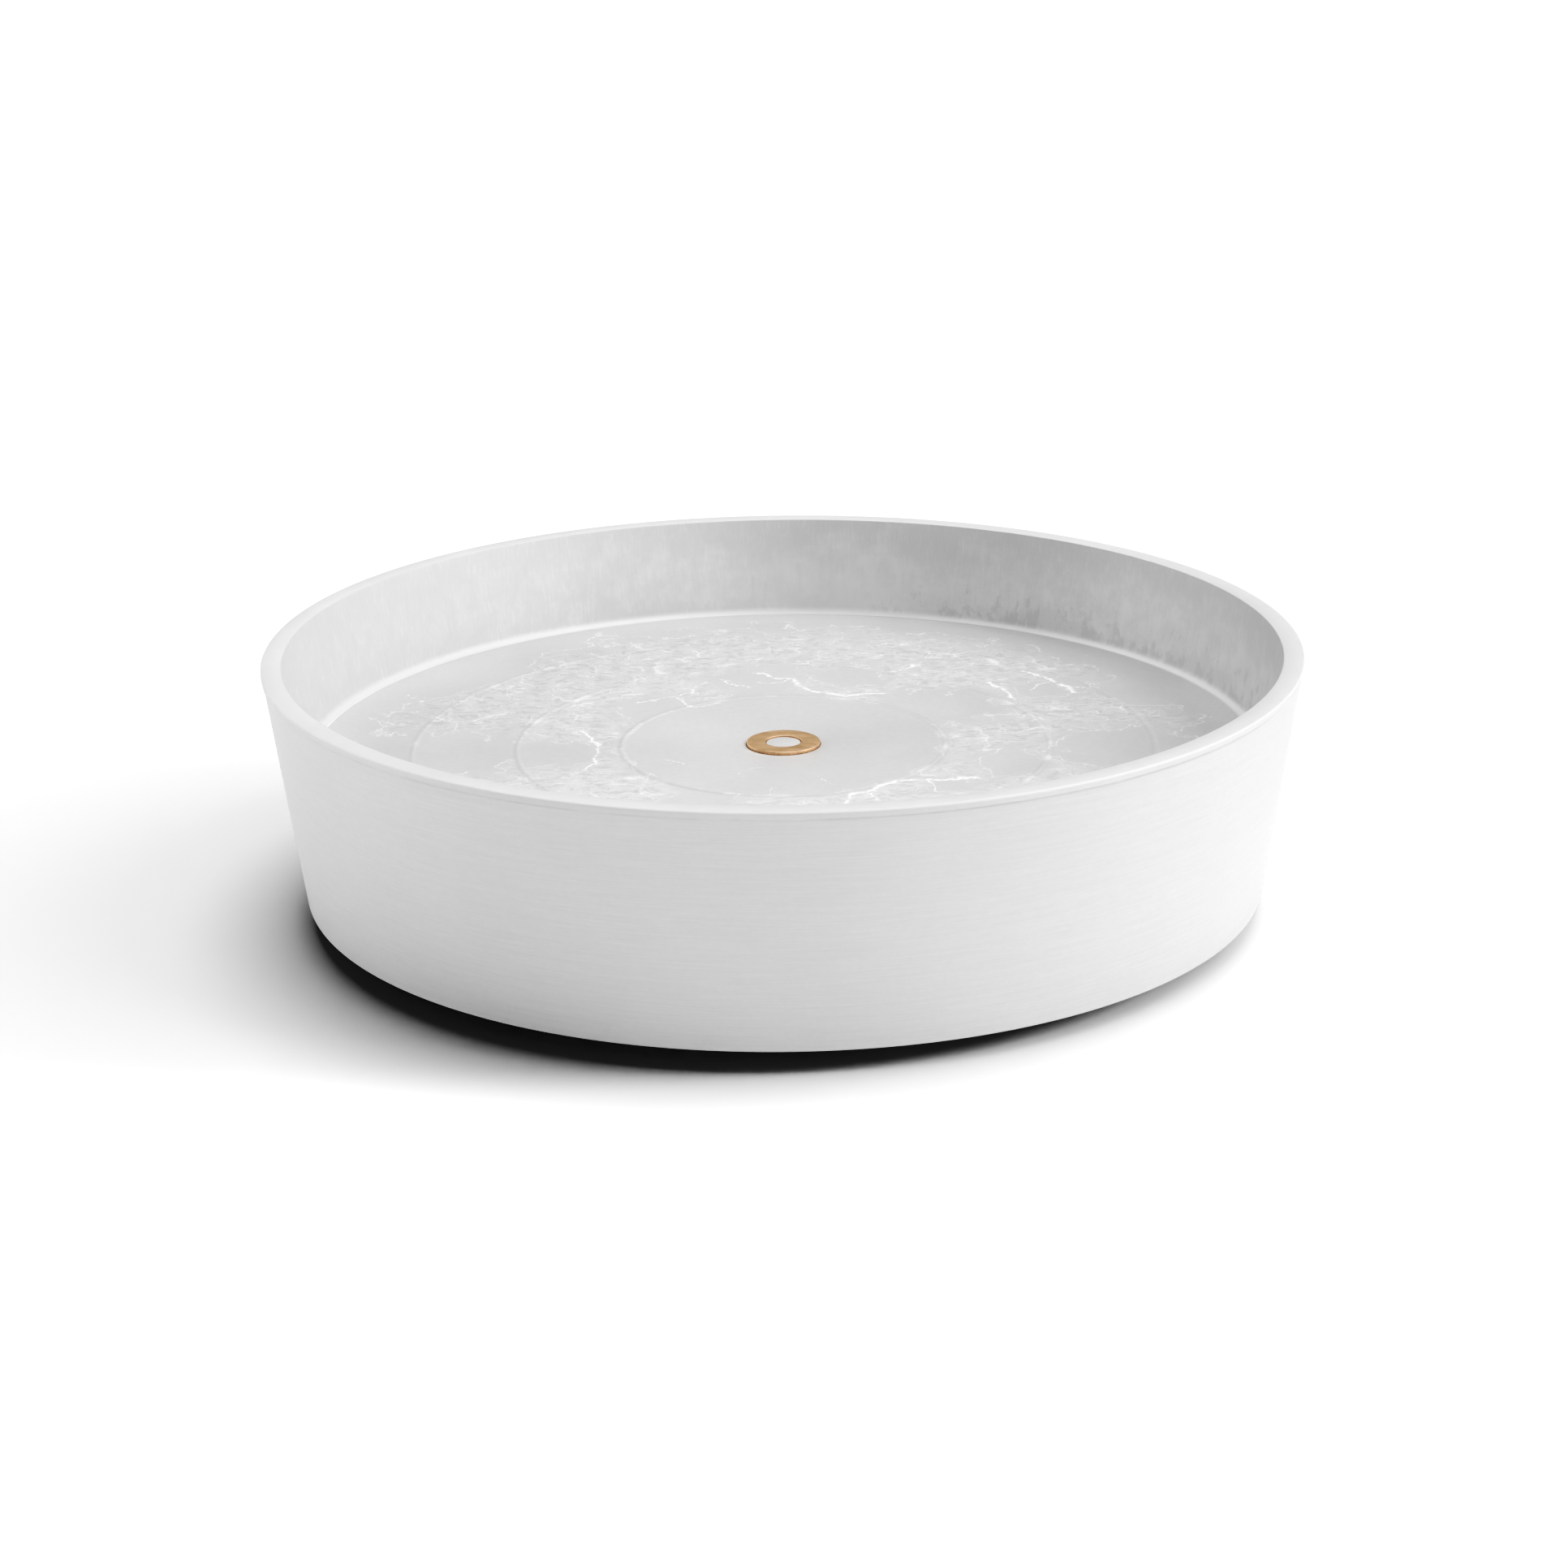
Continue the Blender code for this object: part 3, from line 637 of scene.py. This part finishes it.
round_ring(shell, cavity_bottom_radius, skirt_bottom, SKIRT_EDGE_ROUND, CORNER_STEPS)
round_ring(shell, cavity_top_radius, floor_bottom, CAVITY_ROUND, CORNER_STEPS)

OUTSIDE, WALL, FLOOR, UNDERSIDE = range(4)
FACES_UP = 0.5
LIES_FLAT = 0.95
wall_middle_top = (tray_top_radius + top_radius) / 2
for face in shell.faces:
    centre = face.calc_center_median()
    from_axis = centre.xy.length
    wall_middle = wall_middle_top - (rim_top - centre.z) * tan(SIDE_DRAFT)
    on_floor = from_axis < tray_floor_radius - TRAY_ROUND and face.normal.z > FACES_UP
    in_seat = from_axis < seat_radius + SEAT_GAP and centre.z > floor_bottom + SEAT_GAP
    if on_floor or in_seat:
        face.material_index = FLOOR
    elif centre.z > floor_top and from_axis < wall_middle and face.normal.z < LIES_FLAT:
        face.material_index = WALL
    elif from_axis > wall_middle or centre.z > rim_top - RIM_EDGE:
        face.material_index = OUTSIDE
    else:
        face.material_index = UNDERSIDE

saucer_finishes = [brushed_plastic(), streaked_plastic(), veined_plastic(), underside_plastic()]
saucer = shown("saucer_shell", shell, saucer_finishes)
castor_axes = [middle(f"castor_{castor}_kingpin") for castor in CASTORS]
screw_axes = [middle(f"castor_{castor}_screw_{number}") for castor in CASTORS for number in SCREW_NUMBERS]
screw_low, screw_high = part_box("castor_front_left_screw_1")
kingpin_low, kingpin_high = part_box("castor_front_left_kingpin")
pocket_radius = (kingpin_high.x - kingpin_low.x) / 2 + SEAT_GAP
pads = rods(castor_axes, PAD_RADIUS, pad_face, floor_bottom + FLOOR_THICKNESS / 2, PAD_EDGE, PAD_STEPS)
screw_holes = rods(screw_axes, SCREW_HOLE_RADIUS, pad_face - SEAT_GAP, screw_high.z + SEAT_GAP)
rivet_pockets = rods(castor_axes, pocket_radius, pad_face - SEAT_GAP, kingpin_high.z + SEAT_GAP)
carved(saucer, pads, "UNION")
carved(saucer, screw_holes, "DIFFERENCE")
carved(saucer, rivet_pockets, "DIFFERENCE")
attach(saucer, "saucer")
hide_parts("saucer_body")

# Brass ring. A flat ring cut from brass sheet, its faces brushed in one direction and its edges just broken.
# It drops over the spigot in the middle of the tray floor and stands a millimetre above the floor.
RING_STEPS = 128
RING_EDGE = 0.00018
RING_EDGE_STEPS = 3
BRASS = (0.78, 0.57, 0.41)
BRUSH_LINES = (90, 5200, 900)


def brushed_brass():
    """Warm brass with straight brush lines and a little tarnish."""
    finish, tree, shader, place = new_finish("brushed_brass")
    lines = streaky(tree, place, BRUSH_LINES)
    tarnish = noise(tree, place, scale=260.0, detail=3.0)
    tone = span(tree, weighed(tree, (lines, 0.6), (tarnish, 0.4)), (0.35, 0.65))
    colour = blend(tree, tone, tinted(BRASS, 0.80), tinted(BRASS, 1.12))
    roughness = span(tree, lines, (0.3, 0.7), (0.50, 0.66))
    normal = bump(tree, lines, distance=0.00004, strength=0.6)
    wire(tree, shader, Base_Color=colour, Roughness=roughness, Normal=normal)
    shader.inputs["Metallic"].default_value = 1.0
    return finish


ring_outline = [
    (RING_HOLE_RADIUS, ring_low.z),
    (RING_HOLE_RADIUS, ring_high.z),
    (ring_high.x, ring_high.z),
    (ring_high.x, ring_low.z),
]
ring_bm = turned(ring_outline, RING_STEPS, closed=True)
round_sharp(ring_bm, RING_EDGE, RING_EDGE_STEPS)
brass_ring = shown("brass_floor_ring", ring_bm, [brushed_brass()])
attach(brass_ring, "saucer")
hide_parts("brass_ring")

# Castor plates and kingpins. Pressed from zinc-plated steel: a square plate screwed up against a pad, and
# the rivet through its middle that the fork hangs on and swivels about.
PLATE_CORNER = 0.005
PLATE_CORNER_STEPS = 6
PRESSED_EDGE = 0.0003
KINGPIN_RADIUS = 0.003
FORK_SHEET = 0.0018
ROUND_STEPS = 48
ALONG_X, ALONG_Z = 0, 2
ZINC = (0.50, 0.51, 0.52)
ZINC_SPOT = grey(0.32)
DRAWING_LINES = (3000, 160, 160)


def zinc_plated_steel():
    """Plated steel: cool grey, cloudy, with fine drawing lines and small dull spots."""
    finish, tree, shader, place = new_finish("zinc_plated_steel")
    clouds = noise(tree, place, scale=180.0, detail=4.0, roughness=0.6)
    lines = streaky(tree, place, DRAWING_LINES)
    spots = span(tree, noise(tree, place, scale=620.0), (0.60, 0.68))
    tone = weighed(tree, (clouds, 0.7), (lines, 0.3))
    colour = blend(tree, span(tree, tone, (0.35, 0.65)), tinted(ZINC, 0.82), tinted(ZINC, 1.18))
    colour = blend(tree, product(tree, spots, 0.35), colour, ZINC_SPOT)
    roughness = span(tree, tone, (0.3, 0.7), (0.28, 0.46))
    normal = bump(tree, lines, distance=0.00003, strength=0.5)
    wire(tree, shader, Base_Color=colour, Roughness=roughness, Normal=normal)
    shader.inputs["Metallic"].default_value = 1.0
    return finish


def block(size):
    """Bmesh of a box about the origin."""
    bm = bmesh.new()
    bmesh.ops.create_cube(bm, size=1.0)
    bmesh.ops.scale(bm, verts=bm.verts, vec=size)
    return bm


def rivet_outline(node_name, along, shank_radius, inner_ends):
    """Outline of a rivet with a head at each end, along one axis from its middle."""
    low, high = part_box(node_name)
    half = (high - low)[along] / 2
    head = (high - low)[(along + 1) % 3] / 2
    lower, upper = inner_ends
    return [(0, -half), (head, -half), (head, lower), (shank_radius, lower),
            (shank_radius, upper), (head, upper), (head, half), (0, half)]


zinc = zinc_plated_steel()
crown_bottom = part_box("castor_front_left_fork")[1].z - FORK_SHEET
for castor in CASTORS:
    low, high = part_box(f"castor_{castor}_plate")
    plate_bm = block(high - low)
    heights = {edge: edge.verts[0].co.z - edge.verts[1].co.z for edge in plate_bm.edges}
    upright = [edge for edge, height in heights.items() if abs(height) > MERGE_DISTANCE]
    rounded(plate_bm, upright, PLATE_CORNER, PLATE_CORNER_STEPS)
    round_sharp(plate_bm, PRESSED_EDGE)
    bmesh.ops.translate(plate_bm, verts=plate_bm.verts, vec=(low + high) / 2)
    plate = shown(f"castor_{castor}_top_plate", plate_bm, [zinc])
    axis = middle(f"castor_{castor}_kingpin")
    holes = [middle(f"castor_{castor}_screw_{number}") for number in SCREW_NUMBERS]
    carved(plate, rods(holes, SCREW_HOLE_RADIUS, low.z - SEAT_GAP, high.z + SEAT_GAP), "DIFFERENCE")
    carved(plate, rods([axis], KINGPIN_RADIUS + SEAT_GAP, low.z - SEAT_GAP, high.z + SEAT_GAP), "DIFFERENCE")
    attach(plate, "saucer")
    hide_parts(f"castor_{castor}_plate")

    head_ends = (crown_bottom - SEAT_GAP - axis.z, high.z + SEAT_GAP - axis.z)
    pin_outline = rivet_outline(f"castor_{castor}_kingpin", ALONG_Z, KINGPIN_RADIUS, head_ends)
    pin_bm = turned(pin_outline, ROUND_STEPS)
    round_sharp(pin_bm, PRESSED_EDGE)
    bmesh.ops.translate(pin_bm, verts=pin_bm.verts, vec=axis)
    kingpin = shown(f"castor_{castor}_king_rivet", pin_bm, [zinc])
    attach(kingpin, "saucer")
    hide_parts(f"castor_{castor}_kingpin")

# Plate screws. Pan head steel screws with a cross recess, zinc plated like the plates. They are driven up
# through the corners of the plates into the pads.
SCREW_SHANK = 0.0020
SCREW_TIP = 0.0020
SCREW_HEAD_HEIGHT = 0.0024
SCREW_HEAD_ROUND = 0.55 * SCREW_HEAD_HEIGHT
RECESS_LENGTH = 0.0042
RECESS_WIDTH = 0.0009
RECESS_DEPTH = 0.0014
screw_head = (screw_high.x - screw_low.x) / 2
head_top = screw_low.z + SCREW_HEAD_HEIGHT
screw_outline = [
    (0, screw_high.z),
    (SCREW_SHANK / 2, screw_high.z),
    (SCREW_SHANK, screw_high.z - SCREW_TIP),
    (SCREW_SHANK, head_top),
    (screw_head, head_top),
    (screw_head, screw_low.z),
    (0, screw_low.z),
]
screw_bm = turned(screw_outline, SMALL_STEPS)
round_ring(screw_bm, screw_head, screw_low.z, SCREW_HEAD_ROUND, CORNER_STEPS)
pattern_screw = shown("pattern_screw", screw_bm, [zinc])
for turn in (pi / 4, 3 * pi / 4):
    slot_bm = block((RECESS_LENGTH, RECESS_WIDTH, 2 * RECESS_DEPTH))
    bmesh.ops.rotate(slot_bm, verts=slot_bm.verts, matrix=Matrix.Rotation(turn, 3, "Z"))
    bmesh.ops.translate(slot_bm, verts=slot_bm.verts, vec=(0, 0, screw_low.z))
    carved(pattern_screw, slot_bm, "DIFFERENCE")
for castor in CASTORS:
    for number in SCREW_NUMBERS:
        name = f"castor_{castor}_screw_{number}"
        place = middle(name)
        mesh = pattern_screw.data.copy()
        mesh.transform(Matrix.Translation((place.x, place.y, 0)))
        screw = bpy.data.objects.new(f"castor_{castor}_pan_screw_{number}", mesh)
        bpy.context.collection.objects.link(screw)
        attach(screw, "saucer")
        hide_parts(name)
bpy.data.objects.remove(pattern_screw)

# Ball rings. Hardened steel balls in a pressed cage, which lie loose round the kingpin and run between the
# plate and the crown of the fork.
BALL_COUNT = 8
BALL_RADIUS = 0.0020
BALL_STEPS_ROUND = 20
BALL_STEPS_HIGH = 12
CAGE_WIDTH = 0.0052
CAGE_THICKNESS = 0.0010
STEEL = (0.60, 0.60, 0.61)


def polished_steel():
    """Bright steel with a faint film of grease."""
    finish, tree, shader, place = new_finish("polished_steel")
    film = noise(tree, place, scale=420.0, detail=3.0)
    colour = blend(tree, span(tree, film, (0.35, 0.65)), tinted(STEEL, 0.85), STEEL)
    wire(tree, shader, Base_Color=colour, Roughness=span(tree, film, (0.3, 0.7), (0.16, 0.34)))
    shader.inputs["Metallic"].default_value = 1.0
    return finish


polished = polished_steel()
for castor in CASTORS:
    low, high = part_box(f"castor_{castor}_ball_ring")
    outer = (high.x - low.x) / 2
    inner = outer - CAGE_WIDTH
    half = CAGE_THICKNESS / 2
    cage_outline = [(inner, -half), (inner, half), (outer, half), (outer, -half)]
    race_bm = turned(cage_outline, ROUND_STEPS, closed=True)
    round_sharp(race_bm, half / 2)
    race = shown(f"castor_{castor}_caged_balls", race_bm, [polished])
    balls = bmesh.new()
    out_to_balls = Matrix.Translation((outer - CAGE_WIDTH / 2, 0, 0))
    for number in range(BALL_COUNT):
        spot = Matrix.Rotation(2 * pi * number / BALL_COUNT, 4, "Z") @ out_to_balls
        bmesh.ops.create_uvsphere(balls, u_segments=BALL_STEPS_ROUND, v_segments=BALL_STEPS_HIGH,
                                  radius=BALL_RADIUS, matrix=spot)
    carved(race, balls, "UNION")
    race.data.transform(Matrix.Translation((low + high) / 2))
    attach(race, f"castor_{castor}_fork")
    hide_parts(f"castor_{castor}_ball_ring")

# Forks and axles. Each fork is pressed from plated sheet: a round crown under the balls and two legs swept
# back to the axle, a steel rivet through both. The fork swivels on the kingpin.
FORK_PLAY = 0.0006
LEG_TOP = 0.0180
LEG_END_RADIUS = 0.0055
LEG_STEPS = 14
AXLE_RADIUS = 0.0025


def leg_points(trail, axle_height, leg_top):
    """Side outline of a fork leg: a top edge in the crown, tangents and a round end about the axle."""
    axle = Vector((trail, axle_height))
    corners = (Vector((-LEG_TOP / 2, leg_top)), Vector((LEG_TOP / 2, leg_top)))
    angles = []
    for corner, side in zip(corners, (1, -1)):
        reach = corner - axle
        angles.append(atan2(reach.y, reach.x) + side * acos(LEG_END_RADIUS / reach.length))
    first, last = angles[0], angles[1] + 2 * pi
    arc = [first + (last - first) * step / LEG_STEPS for step in range(LEG_STEPS + 1)]
    end = [axle + LEG_END_RADIUS * Vector((cos(angle), sin(angle))) for angle in arc]
    return [corners[0], *end, corners[1]]


def lay_across(bm, place):
    """Turns an upright bmesh to lie along X, and moves it to its place."""
    bmesh.ops.rotate(bm, verts=bm.verts, matrix=Matrix.Rotation(pi / 2, 3, "Y"))
    bmesh.ops.translate(bm, verts=bm.verts, vec=place)


for castor in CASTORS:
    low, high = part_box(f"castor_{castor}_fork")
    axis = middle(f"castor_{castor}_kingpin")
    axle = middle(f"castor_{castor}_axle")
    tyre_low, tyre_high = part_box(f"castor_{castor}_tyre")
    leg_inside = (tyre_high.x - tyre_low.x) / 2 + FORK_PLAY
    leg_outside = leg_inside + FORK_SHEET
    crown_radius = (high.x - low.x) / 2
    hole = KINGPIN_RADIUS + SEAT_GAP
    crown_low = high.z - FORK_SHEET
    crown = [(hole, crown_low), (hole, high.z), (crown_radius, high.z), (crown_radius, crown_low)]
    fork_bm = turned(crown, ROUND_STEPS, closed=True)
    round_sharp(fork_bm, PRESSED_EDGE)
    fork = shown(f"castor_{castor}_pressed_fork", fork_bm, [zinc])
    legs = bmesh.new()
    side_points = leg_points(axle.y - axis.y, axle.z, high.z - FORK_SHEET / 2)
    for start in (-leg_inside - FORK_SHEET, leg_inside):
        outline = [legs.verts.new((start, point.x, point.y)) for point in side_points]
        grown = bmesh.ops.extrude_face_region(legs, geom=[legs.faces.new(outline)], use_keep_orig=True)
        moved = [item for item in grown["geom"] if isinstance(item, bmesh.types.BMVert)]
        bmesh.ops.translate(legs, verts=moved, vec=(FORK_SHEET, 0, 0))
    bmesh.ops.recalc_face_normals(legs, faces=legs.faces)
    round_sharp(legs, PRESSED_EDGE)
    carved(fork, legs, "UNION")
    bore_end = leg_inside + 2 * FORK_SHEET
    bore = rods([Vector()], AXLE_RADIUS + SEAT_GAP, -bore_end, bore_end)
    lay_across(bore, (0, axle.y - axis.y, axle.z))
    carved(fork, bore, "DIFFERENCE")
    fork.data.transform(Matrix.Translation((axis.x, axis.y, 0)))
    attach(fork, f"castor_{castor}_fork")
    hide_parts(f"castor_{castor}_fork")

    head_ends = (-leg_outside - SEAT_GAP, leg_outside + SEAT_GAP)
    axle_bm = turned(rivet_outline(f"castor_{castor}_axle", ALONG_X, AXLE_RADIUS, head_ends), SMALL_STEPS)
    round_sharp(axle_bm, PRESSED_EDGE)
    lay_across(axle_bm, axle)
    axle_rivet = shown(f"castor_{castor}_axle_rivet", axle_bm, [polished])
    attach(axle_rivet, f"castor_{castor}_fork")
    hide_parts(f"castor_{castor}_axle")

# Wheels. A black nylon centre with hub, thin web and rim, and a soft grey tyre moulded round it.
# They turn on the axle rivet between the fork legs and carry the saucer just clear of the ground.
TYRE_THICKNESS = 0.0035
TYRE_ROUND = 0.0020
TYRE_STEPS = 72
CORE_RIM = 0.0020
CORE_WEB = 0.0040
CORE_HUB_WALL = 0.0022
CORE_EDGE = 0.0004
NYLON, WORN_NYLON = grey(0.018), grey(0.045)
RUBBER, DUSTY_RUBBER = grey(0.055), grey(0.13)


def black_nylon():
    """Moulded nylon: near black, finely grained, a little worn grey."""
    finish, tree, shader, place = new_finish("black_nylon")
    grain = noise(tree, place, scale=1600.0)
    wear = noise(tree, place, scale=150.0, detail=4.0, roughness=0.6)
    tone = span(tree, weighed(tree, (grain, 0.4), (wear, 0.6)), (0.4, 0.65))
    roughness = span(tree, grain, (0.3, 0.7), (0.42, 0.58))
    normal = bump(tree, grain, distance=0.00005, strength=0.5)
    wire(tree, shader, Base_Color=blend(tree, tone, NYLON, WORN_NYLON), Roughness=roughness, Normal=normal)
    return finish


def grey_rubber():
    """Soft dark grey tread, matt, with dust in its grain."""
    finish, tree, shader, place = new_finish("grey_rubber")
    grain = noise(tree, place, scale=2200.0)
    dust = noise(tree, place, scale=210.0, detail=5.0, roughness=0.65)
    colour = blend(tree, span(tree, dust, (0.45, 0.7)), RUBBER, DUSTY_RUBBER)
    roughness = span(tree, dust, (0.3, 0.7), (0.68, 0.88))
    normal = bump(tree, grain, distance=0.00008, strength=0.6)
    wire(tree, shader, Base_Color=colour, Roughness=roughness, Normal=normal)
    return finish


nylon = black_nylon()
rubber = grey_rubber()
for castor in CASTORS:
    axle = middle(f"castor_{castor}_axle")
    tyre_low, tyre_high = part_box(f"castor_{castor}_tyre")
    core_low, core_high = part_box(f"castor_{castor}_wheel_core")
    tread = axle.z
    tyre_inside = tread - TYRE_THICKNESS
    half_width = (tyre_high.x - tyre_low.x) / 2
    hub_half = (core_high.x - core_low.x) / 2
    rim_outer = tyre_inside - SEAT_GAP
    rim_inner = rim_outer - CORE_RIM
    bore_radius = AXLE_RADIUS + SEAT_GAP
    hub_radius = bore_radius + CORE_HUB_WALL
    side = [(bore_radius, hub_half), (hub_radius, hub_half), (hub_radius, CORE_WEB / 2),
            (rim_inner, CORE_WEB / 2), (rim_inner, half_width), (rim_outer, half_width)]
    other_side = [(radius, -along) for radius, along in reversed(side)]
    core_bm = turned(side + other_side, ROUND_STEPS, closed=True)
    round_sharp(core_bm, CORE_EDGE)
    tyre_outline = [(tyre_inside, half_width), (tread, half_width),
                    (tread, -half_width), (tyre_inside, -half_width)]
    tyre_bm = turned(tyre_outline, TYRE_STEPS, closed=True)
    for along in (-half_width, half_width):
        round_ring(tyre_bm, tread, along, TYRE_ROUND, CORNER_STEPS)
    for bm, part, name, finish, slot in ((core_bm, "wheel_core", "wheel_centre", nylon, "black_nylon"),
                                         (tyre_bm, "tyre", "wheel_tread", rubber, "grey_rubber")):
        lay_across(bm, axle)
        piece = shown(f"castor_{castor}_{name}", bm, [finish])
        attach(piece, f"castor_{castor}_wheel")
        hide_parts(f"castor_{castor}_{part}")

# Studio. A wide sheet of pale paper for a floor, and large soft lights from all sides. The saucer has six
# lights of its own and the paper has four, so that each can be balanced without the other.
FLOOR_HALF = 8.0
PAPER_DARK, PAPER_LIGHT = grey(0.92), grey(0.94)
PAPER_ROUGHNESS = 0.85
PAPER_GLOSS = 0.1


def studio_paper():
    """Seamless pale paper with the faintest clouding."""
    finish, tree, shader, place = new_finish("studio_paper")
    clouds = noise(tree, place, scale=3.0, detail=3.0)
    wire(tree, shader, Base_Color=blend(tree, clouds, PAPER_DARK, PAPER_LIGHT))
    shader.inputs["Roughness"].default_value = PAPER_ROUGHNESS
    shader.inputs["Specular IOR Level"].default_value = PAPER_GLOSS
    return finish


floor_bm = bmesh.new()
bmesh.ops.create_grid(floor_bm, x_segments=2, y_segments=2, size=FLOOR_HALF)
studio_floor = shown("studio_floor", floor_bm, [studio_paper()])

# Soft lights: bearing from the right round to the front, height, strength and apparent size
SAUCER_LIGHTS = {
    "low_from_front_right": (radians(30), radians(8), 0.95, radians(16)),
    "low_from_left": (radians(175), radians(-4), 0.95, radians(6)),
    "soft_from_front": (radians(85), radians(48), 0.75, radians(30)),
    "soft_from_left": (radians(208), radians(24), 1.24, radians(40)),
    "high_from_right": (radians(0), radians(42), 2.22, radians(40)),
    "high_from_behind": (radians(285), radians(80), 1.41, radians(40)),
}
PAPER_LIGHTS = {
    "paper_low_from_right": (radians(0), radians(22), 1.88, radians(16)),
    "paper_from_right": (radians(0), radians(40), 1.37, radians(40)),
    "paper_from_above_right": (radians(0), radians(75), 0.88, radians(40)),
    "paper_from_above_behind": (radians(270), radians(75), 1.57, radians(40)),
}


def hang_lights(lights, on_paper):
    """Hangs a set of lights that shine either on the paper alone or on everything but the paper."""
    receivers = bpy.data.collections.new("lit_paper" if on_paper else "lit_saucer")
    receivers.objects.link(studio_floor)
    receivers.collection_objects[0].light_linking.link_state = "INCLUDE" if on_paper else "EXCLUDE"
    for name, (bearing, height, strength, size) in lights.items():
        towards_light = Vector((cos(height) * cos(bearing), -cos(height) * sin(bearing), sin(height)))
        lamp = bpy.data.lights.new(name, "SUN")
        lamp.energy = strength
        lamp.angle = size
        light = bpy.data.objects.new(name, lamp)
        light.rotation_euler = towards_light.to_track_quat("Z", "Y").to_euler()
        light.light_linking.receiver_collection = receivers
        if not on_paper:
            light.light_linking.blocker_collection = receivers
        bpy.context.collection.objects.link(light)


hang_lights(SAUCER_LIGHTS, on_paper=False)
hang_lights(PAPER_LIGHTS, on_paper=True)

# White surround past the floor's edge, which adds only a little light
SURROUND_LIGHT = 0.06
world = bpy.data.worlds.new("pale_surround")
world.use_nodes = True
surround = world.node_tree.nodes["Background"]
surround.inputs["Color"].default_value = (1, 1, 1, 1)
seen = node(world.node_tree, "ShaderNodeLightPath").outputs["Is Camera Ray"]
brightness = most(world.node_tree, seen, SURROUND_LIGHT)
world.node_tree.links.new(brightness, surround.inputs["Strength"])
bpy.context.scene.world = world

# Tones of a studio print: the whites as they fall, the deep shadows a little deeper
PRINT_TONES = ((0.03, 0.005), (0.10, 0.018), (0.20, 0.10), (0.40, 0.37), (0.75, 0.75))
ALL_CHANNELS = 3
view = bpy.context.scene.view_settings
view.view_transform = "Standard"
view.use_curve_mapping = True
for shade, printed in PRINT_TONES:
    view.curve_mapping.curves[ALL_CHANNELS].points.new(shade, printed)
view.curve_mapping.update()

# Camera. It looks down at the saucer from the front, with a long lens and a slight roll.
CAMERA_DISTANCE = 1.2275
CAMERA_HEIGHT_ANGLE = radians(16.38)
CAMERA_PITCH = radians(18.59)
CAMERA_ROLL = radians(-0.676)
CAMERA_LENS = 83.4
CAMERA_SENSOR = 36.0
CAMERA_REACH = 50.0
camera_data = bpy.data.cameras.new("photo_camera")
camera_data.lens = CAMERA_LENS
camera_data.sensor_width = CAMERA_SENSOR
camera_data.clip_end = CAMERA_REACH
camera = bpy.data.objects.new("photo_camera", camera_data)
away = CAMERA_DISTANCE * Vector((0, -cos(CAMERA_HEIGHT_ANGLE), sin(CAMERA_HEIGHT_ANGLE)))
stand = Matrix.Translation(Vector((0, 0, rim_top)) + away)
aim = Matrix.Rotation(pi / 2 - CAMERA_PITCH, 4, "X") @ Matrix.Rotation(CAMERA_ROLL, 4, "Z")
camera.matrix_world = stand @ aim
bpy.context.collection.objects.link(camera)
bpy.context.scene.camera = camera
